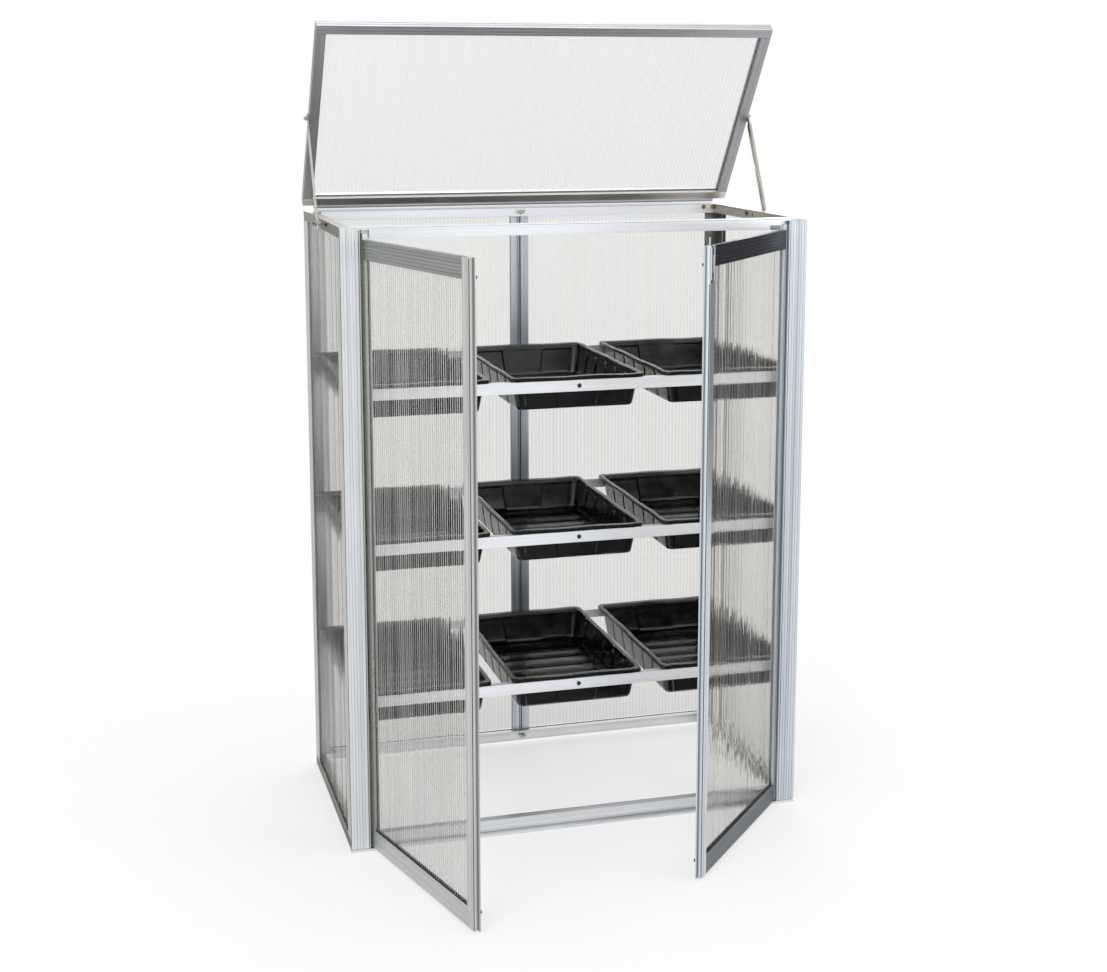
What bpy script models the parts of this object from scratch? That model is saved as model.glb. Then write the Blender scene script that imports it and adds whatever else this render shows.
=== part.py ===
import math

import bmesh
import bpy
from mathutils import Matrix, Vector

# Mini greenhouse: an aluminium frame glazed with twin-wall sheets, with two
# front doors, a lid hinged at the back, and nine seed trays on three shelves.
# X runs along the width, Y from the front (0) to the back, Z up from the ground.

MM = 0.001

# Body
BODY_WIDTH = 1040 * MM
BODY_DEPTH = 541 * MM
BODY_HEIGHT = 1362 * MM
FIT_GAP = 0.3 * MM             # between two pieces that touch
SMALL_RUN = 20 * MM            # how far a cutter runs past what it cuts

# Extruded sections: fine lengthwise grooves on the show faces
RIB_GROOVE_WIDTH = 1.8 * MM
RIB_GROOVE_DEPTH = 0.8 * MM

# Glazing sheets and the grooves that hold them
SHEET_THICKNESS = 6 * MM
SHEET_PLAY = 0.3 * MM
SHEET_GROOVE_DEPTH = 8 * MM
SIDE_SHEET_INSET = 2 * MM      # from the side face of the body to the sheet
REAR_SHEET_INSET = 4 * MM

# Doors
DOOR_THICKNESS = 12 * MM
DOOR_SIDE_SPACE = 51 * MM      # from the body's side to the hinge axis
DOOR_MEETING_GAP = 1 * MM      # from each door's edge to the middle
DOOR_BOTTOM_GAP = 1 * MM
DOOR_TOP_GAP = 1.5 * MM
DOOR_TOP_RAIL = 42 * MM
DOOR_BOTTOM_RAIL = 43 * MM
DOOR_RAIL_GROOVES = 5
HINGE_STILE_WIDTH = 18 * MM
HINGE_SLAB_STEP = 0.3 * MM     # the slab's faces lie this far inside the knuckle
HINGE_RUN = 0.5 * MM           # round the knuckle
HINGE_PIN_RISE = 12 * MM       # knuckle above the door's top
FREE_STILE_WIDTH = 28 * MM
FREE_STILE_BEAD = 4.5 * MM
DOOR_LIP_WIDTH = 6 * MM
DOOR_LIP_THICKNESS = 3 * MM
DOOR_SEAL_HEIGHT = 3 * MM
DOOR_SEAL_THICKNESS = 2 * MM
LEFT_DOOR_OPEN = math.radians(74.3)
RIGHT_DOOR_OPEN = math.radians(47.8)

# Slide bolt on the right door
BOLT_EDGE_SPACE = 10.5 * MM    # from the stile's edge to the bolt's middle
BOLT_GRIP_WIDTH = 12 * MM
BOLT_GRIP_HEIGHT = 36 * MM
BOLT_GRIP_PROUD = 1 * MM
BOLT_TRAVEL = 18 * MM
BOLT_TONGUE_WIDTH = 6 * MM
BOLT_TONGUE_THICKNESS = 3.3 * MM
BOLT_TONGUE_BACK = 0.5 * MM    # tongue's rear face, behind the door's middle
BOLT_TONGUE_RISE = 17 * MM     # above the door's top when shut
BOLT_SIDE_PLAY = 1 * MM
BOLT_END_PLAY = 2 * MM

# Corner posts
POST_FACE_WIDTH = 38 * MM
POST_FACE_GROOVES = 5
POST_SIDE_DEPTH = 50 * MM
POST_SIDE_WALL = 10 * MM

# Hinge channels between the front posts and the doors
CHANNEL_FRONT_WIDTH = 3.4 * MM
CHANNEL_LIP_SPACE = 4.5 * MM   # from the hinge axis to the channel's rear lip
CHANNEL_TOP_DROP = 5.5 * MM
CHANNEL_BACK_SPACE = 0.1 * MM

# Front top rail: a channel section open downwards
FRONT_RAIL_HEIGHT = 23.5 * MM
FRONT_RAIL_WALL = 2.5 * MM
FRONT_RAIL_REAR_CHANNEL = 16.5 * MM
HINGE_NOTCH_INWARD = 11 * MM   # from the hinge axis
HINGE_NOTCH_BRIDGE = 5 * MM

# Front sill, with a base flange that runs under the doors and the front posts
SILL_HEIGHT = 32 * MM
SILL_DEPTH = 20.5 * MM
SILL_SPACE = 0.5 * MM          # behind the shut doors
FLANGE_THICKNESS = 5 * MM
FLANGE_PROUD_FRONT = 3 * MM
FLANGE_PROUD_SIDE = 2 * MM

# Side rails
SIDE_RAIL_HEIGHT = 22 * MM
SIDE_RAIL_THICKNESS = 23 * MM
SIDE_RAIL_GROOVES = 3

# Rear rails and the rear middle post
REAR_RAIL_DEPTH = 24 * MM
REAR_RAIL_TOP_HEIGHT = 22 * MM
REAR_RAIL_BOTTOM_HEIGHT = 24 * MM
REAR_RAIL_BOTTOM_Z = 13 * MM
REAR_POST_WALL = 12 * MM
MIDDLE_POST_WIDTH = 44 * MM
MIDDLE_RIB_WIDTH = 7 * MM
MIDDLE_RIB_PROUD = 4 * MM
MIDDLE_SLOT_WIDTH = 3 * MM
MIDDLE_SLOT_DEPTH = 3 * MM

# Shelves
SHELF_FIRST_Z = 344 * MM
SHELF_PITCH = 338 * MM
SHELF_NAMES = ("low", "middle", "top")
SHELF_RAIL_HEIGHT = 25 * MM
SHELF_RAIL_WALL = 2.5 * MM
SHELF_FRONT_FLANGE = 15 * MM
SHELF_REAR_FLANGE = 16.7 * MM
SHELF_SPACE_FRONT = 4 * MM     # behind the shut doors
SHELF_HOLE_RADIUS = 3.25 * MM

# Seed trays
TRAY_NAMES = ("left", "centre", "right")
TRAY_HEIGHT = 75 * MM
TRAY_RIM_RISE = 8 * MM
TRAY_WALL = 2 * MM
TRAY_SIDE_SPACE = 10 * MM      # from the posts to the outer trays' rims
TRAY_BETWEEN = 47 * MM
TRAY_SIDE_FLANGE = 9 * MM
TRAY_RAIL_SPACE = 1 * MM       # from the shelf flanges to the tray walls
TRAY_RIM_PROUD = 0.5 * MM      # rim past the front shelf rail
TRAY_RIM_REAR_SPACE = 0.7 * MM
TRAY_DRAFT = 9 * MM            # how far each wall leans in, top to bottom
TRAY_CORNER_RADIUS = 13 * MM
TRAY_FLOOR_BEVEL = 6 * MM

# Lid
LID_PIVOT_FROM_REAR = 10 * MM
LID_CLEARANCE = 1.7 * MM       # under the shut lid
LID_RAIL_WIDTH = 22 * MM
LID_RAIL_HEIGHT = 22 * MM
LID_OVERHANG = 5 * MM          # past each side of the body
LID_FRONT_SETBACK = 28 * MM    # from the body's front to the shut lid's edge
LID_HINGE_START = 8 * MM       # from the pivot to the hinge rail
LID_HINGE_WIDTH = 20 * MM
LID_KNUCKLE_RADIUS = 7 * MM
LID_NECK_START = 5 * MM
LID_NECK_LOW = 4 * MM
LID_RAIL_GROOVES = 2
LID_OPEN = math.radians(54.3)
CRADLE_RUN = 0.5 * MM
CRADLE_WALL = 2.5 * MM
CRADLE_FROM = -5               # degrees from the rear, about the lid's pivot
CRADLE_TO = -120

# Lid stays
STAY_LID_REACH = 252 * MM      # from the lid's pivot to the stay's pivot
STAY_FOOT_REACH = 268 * MM     # from the lid's pivot forward to the foot bolt
STAY_FOOT_DROP = 10 * MM       # foot bolt below the top of the side rail
STAY_SIDE_SPACE = 1.5 * MM     # from the lid's side
STAY_WIDTH = 15 * MM
STAY_THICKNESS = 2.5 * MM
STAY_LEG = 5 * MM
STAY_TOP_END = 8 * MM          # past the pivot
STAY_FOOT_END = 16 * MM        # past the foot bolt
STAY_LEG_FREE_TOP = 22 * MM
STAY_LEG_FREE_FOOT = 26 * MM
STAY_HOOK_AT = 17 * MM
STAY_HOOK_RADIUS = 5.5 * MM
STAY_NOTCH_AT = 124 * MM
STAY_NOTCH_LENGTH = 16 * MM
STAY_NOTCH_DEPTH = 3 * MM

# Bolts and nuts
BOLT_RADIUS = 3 * MM
BOLT_HOLE_PLAY = 0.4 * MM
NUT_WIDTH = 10 * MM
NUT_THICKNESS = 4.5 * MM
BOLT_END = 2.5 * MM            # thread past the nut
BOLT_SEAT_STEP = 1 * MM        # the short bolts start this far inside the nut
STAY_BOLT_SPACE = 0.5 * MM     # from the foot bolt's end to the body's side
PIVOT_BOLT_SEAT = 13 * MM      # into the lid's side rail
WING_SPAN = 24 * MM
WING_RISE = 9 * MM
WING_THICKNESS = 2.2 * MM

# How finely round shapes are divided
ROUND_STEPS = 20
HOOK_STEPS = 16
KNUCKLE_STEPS = 14
CRADLE_STEPS = 9
SMALL_ARC_STEPS = 5
TRAY_CORNER_STEPS = 3
WELD_DISTANCE = 0.001 * MM
SMOOTH_LIMIT = 40              # degrees between faces that are shaded as one

# Worked out from the sizes above
HALF_WIDTH = BODY_WIDTH / 2
POST_INNER_X = HALF_WIDTH - POST_FACE_WIDTH
SIDE_RAIL_INNER_X = HALF_WIDTH - SIDE_RAIL_THICKNESS
POST_SIDE_INNER_X = HALF_WIDTH - POST_SIDE_WALL
HINGE_X = HALF_WIDTH - DOOR_SIDE_SPACE
HINGE_Y = DOOR_THICKNESS / 2
KNUCKLE_RADIUS = DOOR_THICKNESS / 2
DOOR_WIDTH = HINGE_X - DOOR_MEETING_GAP
DOOR_LOW = FLANGE_THICKNESS + DOOR_BOTTOM_GAP
FRONT_RAIL_LOW = BODY_HEIGHT - FRONT_RAIL_HEIGHT
DOOR_HIGH = FRONT_RAIL_LOW - DOOR_TOP_GAP
DOOR_STILE_X = DOOR_WIDTH - DOOR_LIP_WIDTH - FREE_STILE_WIDTH
FRONT_LAYER = DOOR_THICKNESS + FIT_GAP
SIDE_TOP_LOW = BODY_HEIGHT - SIDE_RAIL_HEIGHT
REAR_TOP_LOW = BODY_HEIGHT - REAR_RAIL_TOP_HEIGHT
REAR_RAIL_Y = BODY_DEPTH - REAR_RAIL_DEPTH
REAR_POST_Y = BODY_DEPTH - REAR_POST_WALL
HALF_GROOVE = SHEET_THICKNESS / 2 + SHEET_PLAY
SIDE_SHEET_X = HALF_WIDTH - SIDE_SHEET_INSET - SHEET_THICKNESS / 2
REAR_SHEET_Y = BODY_DEPTH - REAR_SHEET_INSET - SHEET_THICKNESS / 2
SHELF_FRONT_Y = DOOR_THICKNESS + SHELF_SPACE_FRONT
SHELF_REAR_Y = REAR_POST_Y - MIDDLE_RIB_PROUD - FIT_GAP
SHELF_HEIGHTS = [SHELF_FIRST_Z + SHELF_PITCH * level for level in range(len(SHELF_NAMES))]
LID_PIVOT_Y = BODY_DEPTH - LID_PIVOT_FROM_REAR
LID_PIVOT_Z = BODY_HEIGHT + LID_CLEARANCE + LID_RAIL_HEIGHT / 2
LID_HALF_WIDTH = HALF_WIDTH + LID_OVERHANG
LID_LENGTH = LID_PIVOT_Y - LID_FRONT_SETBACK
LID_SIDE_INNER_X = LID_HALF_WIDTH - LID_RAIL_WIDTH
STAY_X = LID_HALF_WIDTH + STAY_SIDE_SPACE
STAY_FOOT_Y = LID_PIVOT_Y - STAY_FOOT_REACH
STAY_FOOT_Z = BODY_HEIGHT - STAY_FOOT_DROP
STAY_PIVOT_Y = LID_PIVOT_Y - STAY_LID_REACH * math.cos(LID_OPEN)
STAY_PIVOT_Z = LID_PIVOT_Z + STAY_LID_REACH * math.sin(LID_OPEN)
STAY_LENGTH = math.hypot(STAY_PIVOT_Y - STAY_FOOT_Y, STAY_PIVOT_Z - STAY_FOOT_Z)
STAY_LEAN = math.atan2(STAY_PIVOT_Y - STAY_FOOT_Y, STAY_PIVOT_Z - STAY_FOOT_Z)

# Colour, roughness, metallic value and alpha of each finish
FINISHES = {
    "pale_aluminium": ((0.74, 0.77, 0.80), 0.38, 0.9, 1.0),
    "white_aluminium": ((0.86, 0.88, 0.90), 0.35, 0.7, 1.0),
    "grey_aluminium": ((0.42, 0.42, 0.42), 0.42, 0.9, 1.0),
    "dark_aluminium": ((0.12, 0.13, 0.17), 0.45, 0.8, 1.0),
    "twin_wall_sheet": ((0.86, 0.88, 0.88), 0.25, 0.0, 0.45),
    "black_plastic": ((0.02, 0.02, 0.022), 0.35, 0.0, 1.0),
    "black_rubber": ((0.015, 0.015, 0.017), 0.6, 0.0, 1.0),
    "steel": ((0.55, 0.55, 0.54), 0.3, 1.0, 1.0),
}


def clear_scene():
    for item in list(bpy.data.objects):
        bpy.data.objects.remove(item, do_unlink=True)


def new_collection(name):
    collection = bpy.data.collections.new(name)
    bpy.context.scene.collection.children.link(collection)
    return collection


def own_material(piece_name, finish):
    colour, roughness, metallic, alpha = FINISHES[finish]
    material = bpy.data.materials.new(piece_name + "_" + finish)
    material.use_nodes = True
    shader = material.node_tree.nodes["Principled BSDF"]
    shader.inputs["Base Color"].default_value = (*colour, 1.0)
    shader.inputs["Roughness"].default_value = roughness
    shader.inputs["Metallic"].default_value = metallic
    shader.inputs["Alpha"].default_value = alpha
    return material


def add_piece(name, mesh, finish, parent=None):
    piece = bpy.data.objects.new(name, mesh)
    PARTS.objects.link(piece)
    piece.data.materials.append(own_material(name, finish))
    piece.parent = parent
    return piece


def add_cutter(name, mesh, parent=None):
    cutter = bpy.data.objects.new(name, mesh)
    CUTTERS.objects.link(cutter)
    cutter.parent = parent
    cutter.hide_render = True
    cutter.display_type = "WIRE"
    return cutter


def combine(piece, other, operation):
    modifier = piece.modifiers.new(operation.lower() + "_" + other.name, "BOOLEAN")
    modifier.operation = operation
    modifier.solver = "EXACT"
    modifier.object = other


def cut(piece, cutter):
    combine(piece, cutter, "DIFFERENCE")


def add_pivot(name, location, turn, parent=None):
    pivot = bpy.data.objects.new(name, None)
    PARTS.objects.link(pivot)
    pivot.location = location
    pivot.rotation_euler = turn
    pivot.parent = parent
    return pivot


# Outlines are lists of (across, up) points, walked anticlockwise.
# Along x they lie in (y, z), along y in (x, z), and along z in (x, y).
OUTLINE_PLANES = {
    "x": Matrix(((0, 0, 1, 0), (1, 0, 0, 0), (0, 1, 0, 0), (0, 0, 0, 1))),
    "y": Matrix(((1, 0, 0, 0), (0, 0, 1, 0), (0, 1, 0, 0), (0, 0, 0, 1))),
    "z": Matrix.Identity(4),
}


def arc(centre, radius, start, end, steps):
    points = []
    for step in range(steps + 1):
        angle = math.radians(start + (end - start) * step / steps)
        points.append((centre[0] + radius * math.cos(angle), centre[1] + radius * math.sin(angle)))
    return points


def grooved_edge(start, end, count):
    start, end = Vector(start), Vector(end)
    along = (end - start).normalized()
    inward = Vector((-along.y, along.x))
    points = [tuple(start)]
    for number in range(count):
        middle = start.lerp(end, (number + 1) / (count + 1))
        points.append(tuple(middle - along * RIB_GROOVE_WIDTH / 2))
        points.append(tuple(middle + inward * RIB_GROOVE_DEPTH))
        points.append(tuple(middle + along * RIB_GROOVE_WIDTH / 2))
    return points


def mirrored(outline, side):
    return [(across * side, up) for across, up in outline]


def extruded_mesh(name, outline, axis, length):
    # The curve is filled at a thousand times its size, so that fine grooves fill cleanly.
    curve = bpy.data.curves.new(name, "CURVE")
    curve.dimensions = "2D"
    curve.fill_mode = "BOTH"
    curve.extrude = length / 2 / MM
    spline = curve.splines.new("POLY")
    spline.points.add(len(outline) - 1)
    for point, (across, up) in zip(spline.points, outline):
        point.co = (across / MM, up / MM, 0, 1)
    spline.use_cyclic_u = True
    guide = bpy.data.objects.new(name + "_outline", curve)
    CUTTERS.objects.link(guide)
    graph = bpy.context.evaluated_depsgraph_get()
    mesh = bpy.data.meshes.new_from_object(guide.evaluated_get(graph))
    bpy.data.objects.remove(guide, do_unlink=True)
    bpy.data.curves.remove(curve)
    mesh.transform(OUTLINE_PLANES[axis] @ Matrix.Scale(MM, 4))
    mesh.name = name
    body = bmesh.new()
    body.from_mesh(mesh)
    bmesh.ops.remove_doubles(body, verts=body.verts, dist=WELD_DISTANCE)
    # Each end becomes one many-sided face.
    index = "xyz".index(axis)
    for end in (-1, 1):
        cap = [face for face in body.faces if all(v.co[index] * end > 0 for v in face.verts)]
        bmesh.ops.dissolve_faces(body, faces=cap)
    bmesh.ops.recalc_face_normals(body, faces=body.faces)
    body.to_mesh(mesh)
    body.free()
    mesh.materials.clear()
    return mesh


def place_along(item, axis, low, high):
    item.location["xyz".index(axis)] = (low + high) / 2


def extrusion(name, outline, axis, low, high, finish, parent=None):
    piece = add_piece(name, extruded_mesh(name, outline, axis, high - low), finish, parent)
    place_along(piece, axis, low, high)
    return piece


def extruded_cutter(name, outline, axis, low, high, parent=None):
    cutter = add_cutter(name, extruded_mesh(name, outline, axis, high - low), parent)
    place_along(cutter, axis, low, high)
    return cutter


def box_mesh(name, low, high):
    size = Vector(high) - Vector(low)
    body = bmesh.new()
    bmesh.ops.create_cube(body, size=1.0, matrix=Matrix.Diagonal((*size, 1.0)))
    mesh = bpy.data.meshes.new(name)
    body.to_mesh(mesh)
    body.free()
    return mesh


def ordered(low, high):
    return (
        [min(a, b) for a, b in zip(low, high)],
        [max(a, b) for a, b in zip(low, high)],
    )


def box(name, corner, other_corner, finish, parent=None):
    low, high = ordered(corner, other_corner)
    piece = add_piece(name, box_mesh(name, low, high), finish, parent)
    piece.location = (Vector(low) + Vector(high)) / 2
    return piece


def box_cutter(name, corner, other_corner, parent=None):
    low, high = ordered(corner, other_corner)
    cutter = add_cutter(name, box_mesh(name, low, high), parent)
    cutter.location = (Vector(low) + Vector(high)) / 2
    return cutter


def rod_mesh(name, radius, length, axis, steps):
    body = bmesh.new()
    bmesh.ops.create_cone(
        body, cap_ends=True, segments=steps, radius1=radius, radius2=radius, depth=length
    )
    mesh = bpy.data.meshes.new(name)
    body.to_mesh(mesh)
    body.free()
    turns = {
        "x": Matrix.Rotation(math.pi / 2, 4, "Y"),
        "y": Matrix.Rotation(math.pi / 2, 4, "X"),
        "z": Matrix.Identity(4),
    }
    mesh.transform(turns[axis])
    return mesh


def rod_cutter(name, centre, radius, length, axis, parent=None, steps=ROUND_STEPS):
    cutter = add_cutter(name, rod_mesh(name, radius, length, axis, steps), parent)
    cutter.location = centre
    return cutter


def shade_round(piece):
    piece.data.shade_smooth()
    piece.data.set_sharp_from_angle(angle=math.radians(SMOOTH_LIMIT))


# Corner posts


def front_post(side, word):
    side_groove = SIDE_SHEET_X - HALF_GROOVE, SIDE_SHEET_X + HALF_GROOVE
    groove_y = POST_SIDE_DEPTH - SHEET_GROOVE_DEPTH
    outline = grooved_edge((POST_INNER_X, 0), (HALF_WIDTH, 0), POST_FACE_GROOVES)
    outline += [
        (HALF_WIDTH, 0),
        (HALF_WIDTH, POST_SIDE_DEPTH),
        (side_groove[1], POST_SIDE_DEPTH),
        (side_groove[1], groove_y),
        (side_groove[0], groove_y),
        (side_groove[0], POST_SIDE_DEPTH),
        (POST_SIDE_INNER_X, POST_SIDE_DEPTH),
        (POST_SIDE_INNER_X, DOOR_THICKNESS),
        (POST_INNER_X, DOOR_THICKNESS),
    ]
    name = "post_front_" + word
    low = FLANGE_THICKNESS + FIT_GAP
    post = extrusion(name, mirrored(outline, side), "z", low, BODY_HEIGHT, "pale_aluminium")
    behind = POST_SIDE_DEPTH + SMALL_RUN
    outside = (HALF_WIDTH + SMALL_RUN) * side
    inside = (POST_INNER_X - SMALL_RUN) * side
    for end, start, stop in (
        ("top", SIDE_TOP_LOW - FIT_GAP, BODY_HEIGHT + SMALL_RUN),
        ("foot", -SMALL_RUN, SIDE_RAIL_HEIGHT + FIT_GAP),
    ):
        seat = box_cutter(
            "seat_" + end + "_" + name, (inside, FRONT_LAYER, start), (outside, behind, stop)
        )
        cut(post, seat)


def rear_post(side, word):
    side_groove = SIDE_SHEET_X - HALF_GROOVE, SIDE_SHEET_X + HALF_GROOVE
    rear_groove = REAR_SHEET_Y - HALF_GROOVE, REAR_SHEET_Y + HALF_GROOVE
    side_start = BODY_DEPTH - POST_SIDE_DEPTH
    side_end = side_start + SHEET_GROOVE_DEPTH
    rear_end = POST_INNER_X + SHEET_GROOVE_DEPTH
    outline = [
        (HALF_WIDTH, side_start),
        (HALF_WIDTH, BODY_DEPTH),
        (POST_INNER_X, BODY_DEPTH),
        (POST_INNER_X, rear_groove[1]),
        (rear_end, rear_groove[1]),
        (rear_end, rear_groove[0]),
        (POST_INNER_X, rear_groove[0]),
        (POST_INNER_X, REAR_POST_Y),
        (POST_SIDE_INNER_X, REAR_POST_Y),
        (POST_SIDE_INNER_X, side_start),
        (side_groove[0], side_start),
        (side_groove[0], side_end),
        (side_groove[1], side_end),
        (side_groove[1], side_start),
    ]
    low = SIDE_RAIL_HEIGHT + FIT_GAP
    high = SIDE_TOP_LOW - FIT_GAP
    extrusion("post_rear_" + word, mirrored(outline, side), "z", low, high, "pale_aluminium")


def hinge_channel(side, word):
    # A hollow arc faces the door's knuckle; the front slopes away so that the door can open wide.
    outer = POST_INNER_X - FIT_GAP
    radius = KNUCKLE_RADIUS + HINGE_RUN
    lip_angle = math.degrees(math.acos(CHANNEL_LIP_SPACE / radius))
    back = FRONT_LAYER - CHANNEL_BACK_SPACE
    outline = [(outer - CHANNEL_FRONT_WIDTH, 0), (outer, 0), (outer, back)]
    outline += [(HINGE_X + CHANNEL_LIP_SPACE, back)]
    outline += arc((HINGE_X, HINGE_Y), radius, lip_angle, 0, SMALL_ARC_STEPS)
    low = FLANGE_THICKNESS + FIT_GAP
    high = BODY_HEIGHT - CHANNEL_TOP_DROP
    name = "hinge_channel_" + word
    channel = extrusion(name, mirrored(outline, side), "z", low, high, "grey_aluminium")
    shade_round(channel)


# Front rail and sill


def front_top_rail():
    wall = FRONT_RAIL_WALL
    low, high = FRONT_RAIL_LOW, BODY_HEIGHT
    under = high - wall
    middle = DOOR_THICKNESS + SILL_SPACE
    rear = middle + wall + FRONT_RAIL_REAR_CHANNEL
    outline = [
        (0, low),
        (wall, low),
        (wall, under),
        (middle, under),
        (middle, low),
        (middle + wall, low),
        (middle + wall, under),
        (rear, under),
        (rear, low),
        (rear + wall, low),
        (rear + wall, high),
        (0, high),
    ]
    half = SIDE_RAIL_INNER_X - FIT_GAP
    rail = extrusion("rail_top_front", outline, "x", -half, half, "white_aluminium")
    for side, word in SIDES:
        post_room = box_cutter(
            "post_room_" + word,
            ((POST_INNER_X - FIT_GAP) * side, -SMALL_RUN, low - SMALL_RUN),
            ((half + SMALL_RUN) * side, FRONT_LAYER, high + SMALL_RUN),
        )
        cut(rail, post_room)
        hinge_room = box_cutter(
            "hinge_room_" + word,
            ((HINGE_X - HINGE_NOTCH_INWARD) * side, -SMALL_RUN, low - SMALL_RUN),
            ((POST_INNER_X + SMALL_RUN) * side, FRONT_LAYER, high - HINGE_NOTCH_BRIDGE),
        )
        cut(rail, hinge_room)


def front_sill():
    front = DOOR_THICKNESS + SILL_SPACE
    back = front + SILL_DEPTH
    outline = [
        (-FLANGE_PROUD_FRONT, 0),
        (back, 0),
        (back, SILL_HEIGHT),
        (front, SILL_HEIGHT),
        (front, FLANGE_THICKNESS),
        (-FLANGE_PROUD_FRONT, FLANGE_THICKNESS),
    ]
    end = HALF_WIDTH + FLANGE_PROUD_SIDE
    sill = extrusion("sill_front", outline, "x", -end, end, "white_aluminium")
    for side, word in SIDES:
        rail_room = box_cutter(
            "side_rail_room_" + word,
            ((SIDE_RAIL_INNER_X - FIT_GAP) * side, FRONT_LAYER, -SMALL_RUN),
            ((end + SMALL_RUN) * side, back + SMALL_RUN, SILL_HEIGHT + SMALL_RUN),
        )
        cut(sill, rail_room)


# Side and rear rails


def side_rails(side, word):
    groove = SIDE_SHEET_X - HALF_GROOVE, SIDE_SHEET_X + HALF_GROOVE
    inner = SIDE_RAIL_INNER_X
    low, high = SIDE_TOP_LOW, BODY_HEIGHT
    start, stop = FRONT_LAYER + FIT_GAP, BODY_DEPTH
    top = [(inner, low), (groove[0], low), (groove[0], low + SHEET_GROOVE_DEPTH)]
    top += [(groove[1], low + SHEET_GROOVE_DEPTH), (groove[1], low)]
    top += grooved_edge((HALF_WIDTH, low), (HALF_WIDTH, high), SIDE_RAIL_GROOVES)
    top += [(HALF_WIDTH, high), (inner, high)]
    top_rail = extrusion(
        "rail_top_" + word, mirrored(top, side), "y", start, stop, "pale_aluminium"
    )
    hole = rod_cutter(
        "stay_hole_" + word,
        ((HALF_WIDTH - SIDE_RAIL_THICKNESS / 2) * side, STAY_FOOT_Y, STAY_FOOT_Z),
        BOLT_RADIUS + BOLT_HOLE_PLAY,
        SIDE_RAIL_THICKNESS + 2 * SMALL_RUN,
        "x",
    )
    cut(top_rail, hole)
    high = SIDE_RAIL_HEIGHT
    bottom = [(inner, 0)]
    bottom += grooved_edge((HALF_WIDTH, 0), (HALF_WIDTH, high), SIDE_RAIL_GROOVES)
    bottom += [(HALF_WIDTH, high), (groove[1], high), (groove[1], high - SHEET_GROOVE_DEPTH)]
    bottom += [(groove[0], high - SHEET_GROOVE_DEPTH), (groove[0], high), (inner, high)]
    extrusion("rail_bottom_" + word, mirrored(bottom, side), "y", start, stop, "pale_aluminium")


def rear_top_rail():
    # The rail's top carries a round cradle in which the lid's knuckle turns.
    groove = REAR_SHEET_Y - HALF_GROOVE, REAR_SHEET_Y + HALF_GROOVE
    low, high = REAR_TOP_LOW, BODY_HEIGHT
    radius = LID_KNUCKLE_RADIUS + CRADLE_RUN
    cradle = arc((LID_PIVOT_Y, LID_PIVOT_Z), radius, CRADLE_FROM, CRADLE_TO, CRADLE_STEPS)
    lip = cradle[-1][0] - CRADLE_WALL
    outline = [
        (REAR_RAIL_Y, low),
        (groove[0], low),
        (groove[0], low + SHEET_GROOVE_DEPTH),
        (groove[1], low + SHEET_GROOVE_DEPTH),
        (groove[1], low),
        (BODY_DEPTH, low),
        (BODY_DEPTH, cradle[0][1]),
    ]
    outline += cradle
    outline += [(lip, cradle[-1][1]), (lip, high), (REAR_RAIL_Y, high)]
    half = SIDE_RAIL_INNER_X - FIT_GAP
    rail = extrusion("rail_top_rear", outline, "x", -half, half, "white_aluminium")
    shade_round(rail)


def rear_bottom_rail():
    groove = REAR_SHEET_Y - HALF_GROOVE, REAR_SHEET_Y + HALF_GROOVE
    low, high = REAR_RAIL_BOTTOM_Z, REAR_RAIL_BOTTOM_Z + REAR_RAIL_BOTTOM_HEIGHT
    outline = [
        (REAR_RAIL_Y, low),
        (BODY_DEPTH, low),
        (BODY_DEPTH, high),
        (groove[1], high),
        (groove[1], high - SHEET_GROOVE_DEPTH),
        (groove[0], high - SHEET_GROOVE_DEPTH),
        (groove[0], high),
        (REAR_RAIL_Y, high),
    ]
    half = POST_INNER_X - FIT_GAP
    extrusion("rail_bottom_rear", outline, "x", -half, half, "white_aluminium")


def middle_post():
    half = MIDDLE_POST_WIDTH / 2
    web = half - SHEET_GROOVE_DEPTH
    groove = REAR_SHEET_Y - HALF_GROOVE, REAR_SHEET_Y + HALF_GROOVE
    rib = MIDDLE_RIB_WIDTH / 2
    slot = MIDDLE_SLOT_WIDTH / 2
    rib_front = REAR_POST_Y - MIDDLE_RIB_PROUD
    right = [
        (slot, rib_front + MIDDLE_SLOT_DEPTH),
        (slot, rib_front),
        (rib, rib_front),
        (rib, REAR_POST_Y),
        (half, REAR_POST_Y),
        (half, groove[0]),
        (web, groove[0]),
        (web, groove[1]),
        (half, groove[1]),
        (half, BODY_DEPTH),
    ]
    outline = right + [(-across, up) for across, up in reversed(right)]
    low = REAR_RAIL_BOTTOM_Z + REAR_RAIL_BOTTOM_HEIGHT + FIT_GAP
    high = REAR_TOP_LOW - FIT_GAP
    extrusion("post_rear_centre", outline, "z", low, high, "pale_aluminium")


def bolt_and_nut(name, axis, nut_middle, start, end, across, parent=None):
    # A hexagon nut on a threaded bolt that runs from start to end along the axis.
    index = "xyz".index(axis)
    centre = list(across)
    centre[index] = nut_middle
    radius = NUT_WIDTH / 2 / math.cos(math.pi / 6)
    bolt = add_piece(name, rod_mesh(name, radius, NUT_THICKNESS, axis, 6), "steel", parent)
    bolt.location = centre
    thread_name = "thread_" + name
    thread_mesh = rod_mesh(thread_name, BOLT_RADIUS, abs(end - start), axis, ROUND_STEPS)
    thread = add_cutter(thread_name, thread_mesh, parent)
    centre[index] = (start + end) / 2
    thread.location = centre
    combine(bolt, thread, "UNION")
    return bolt


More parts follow.
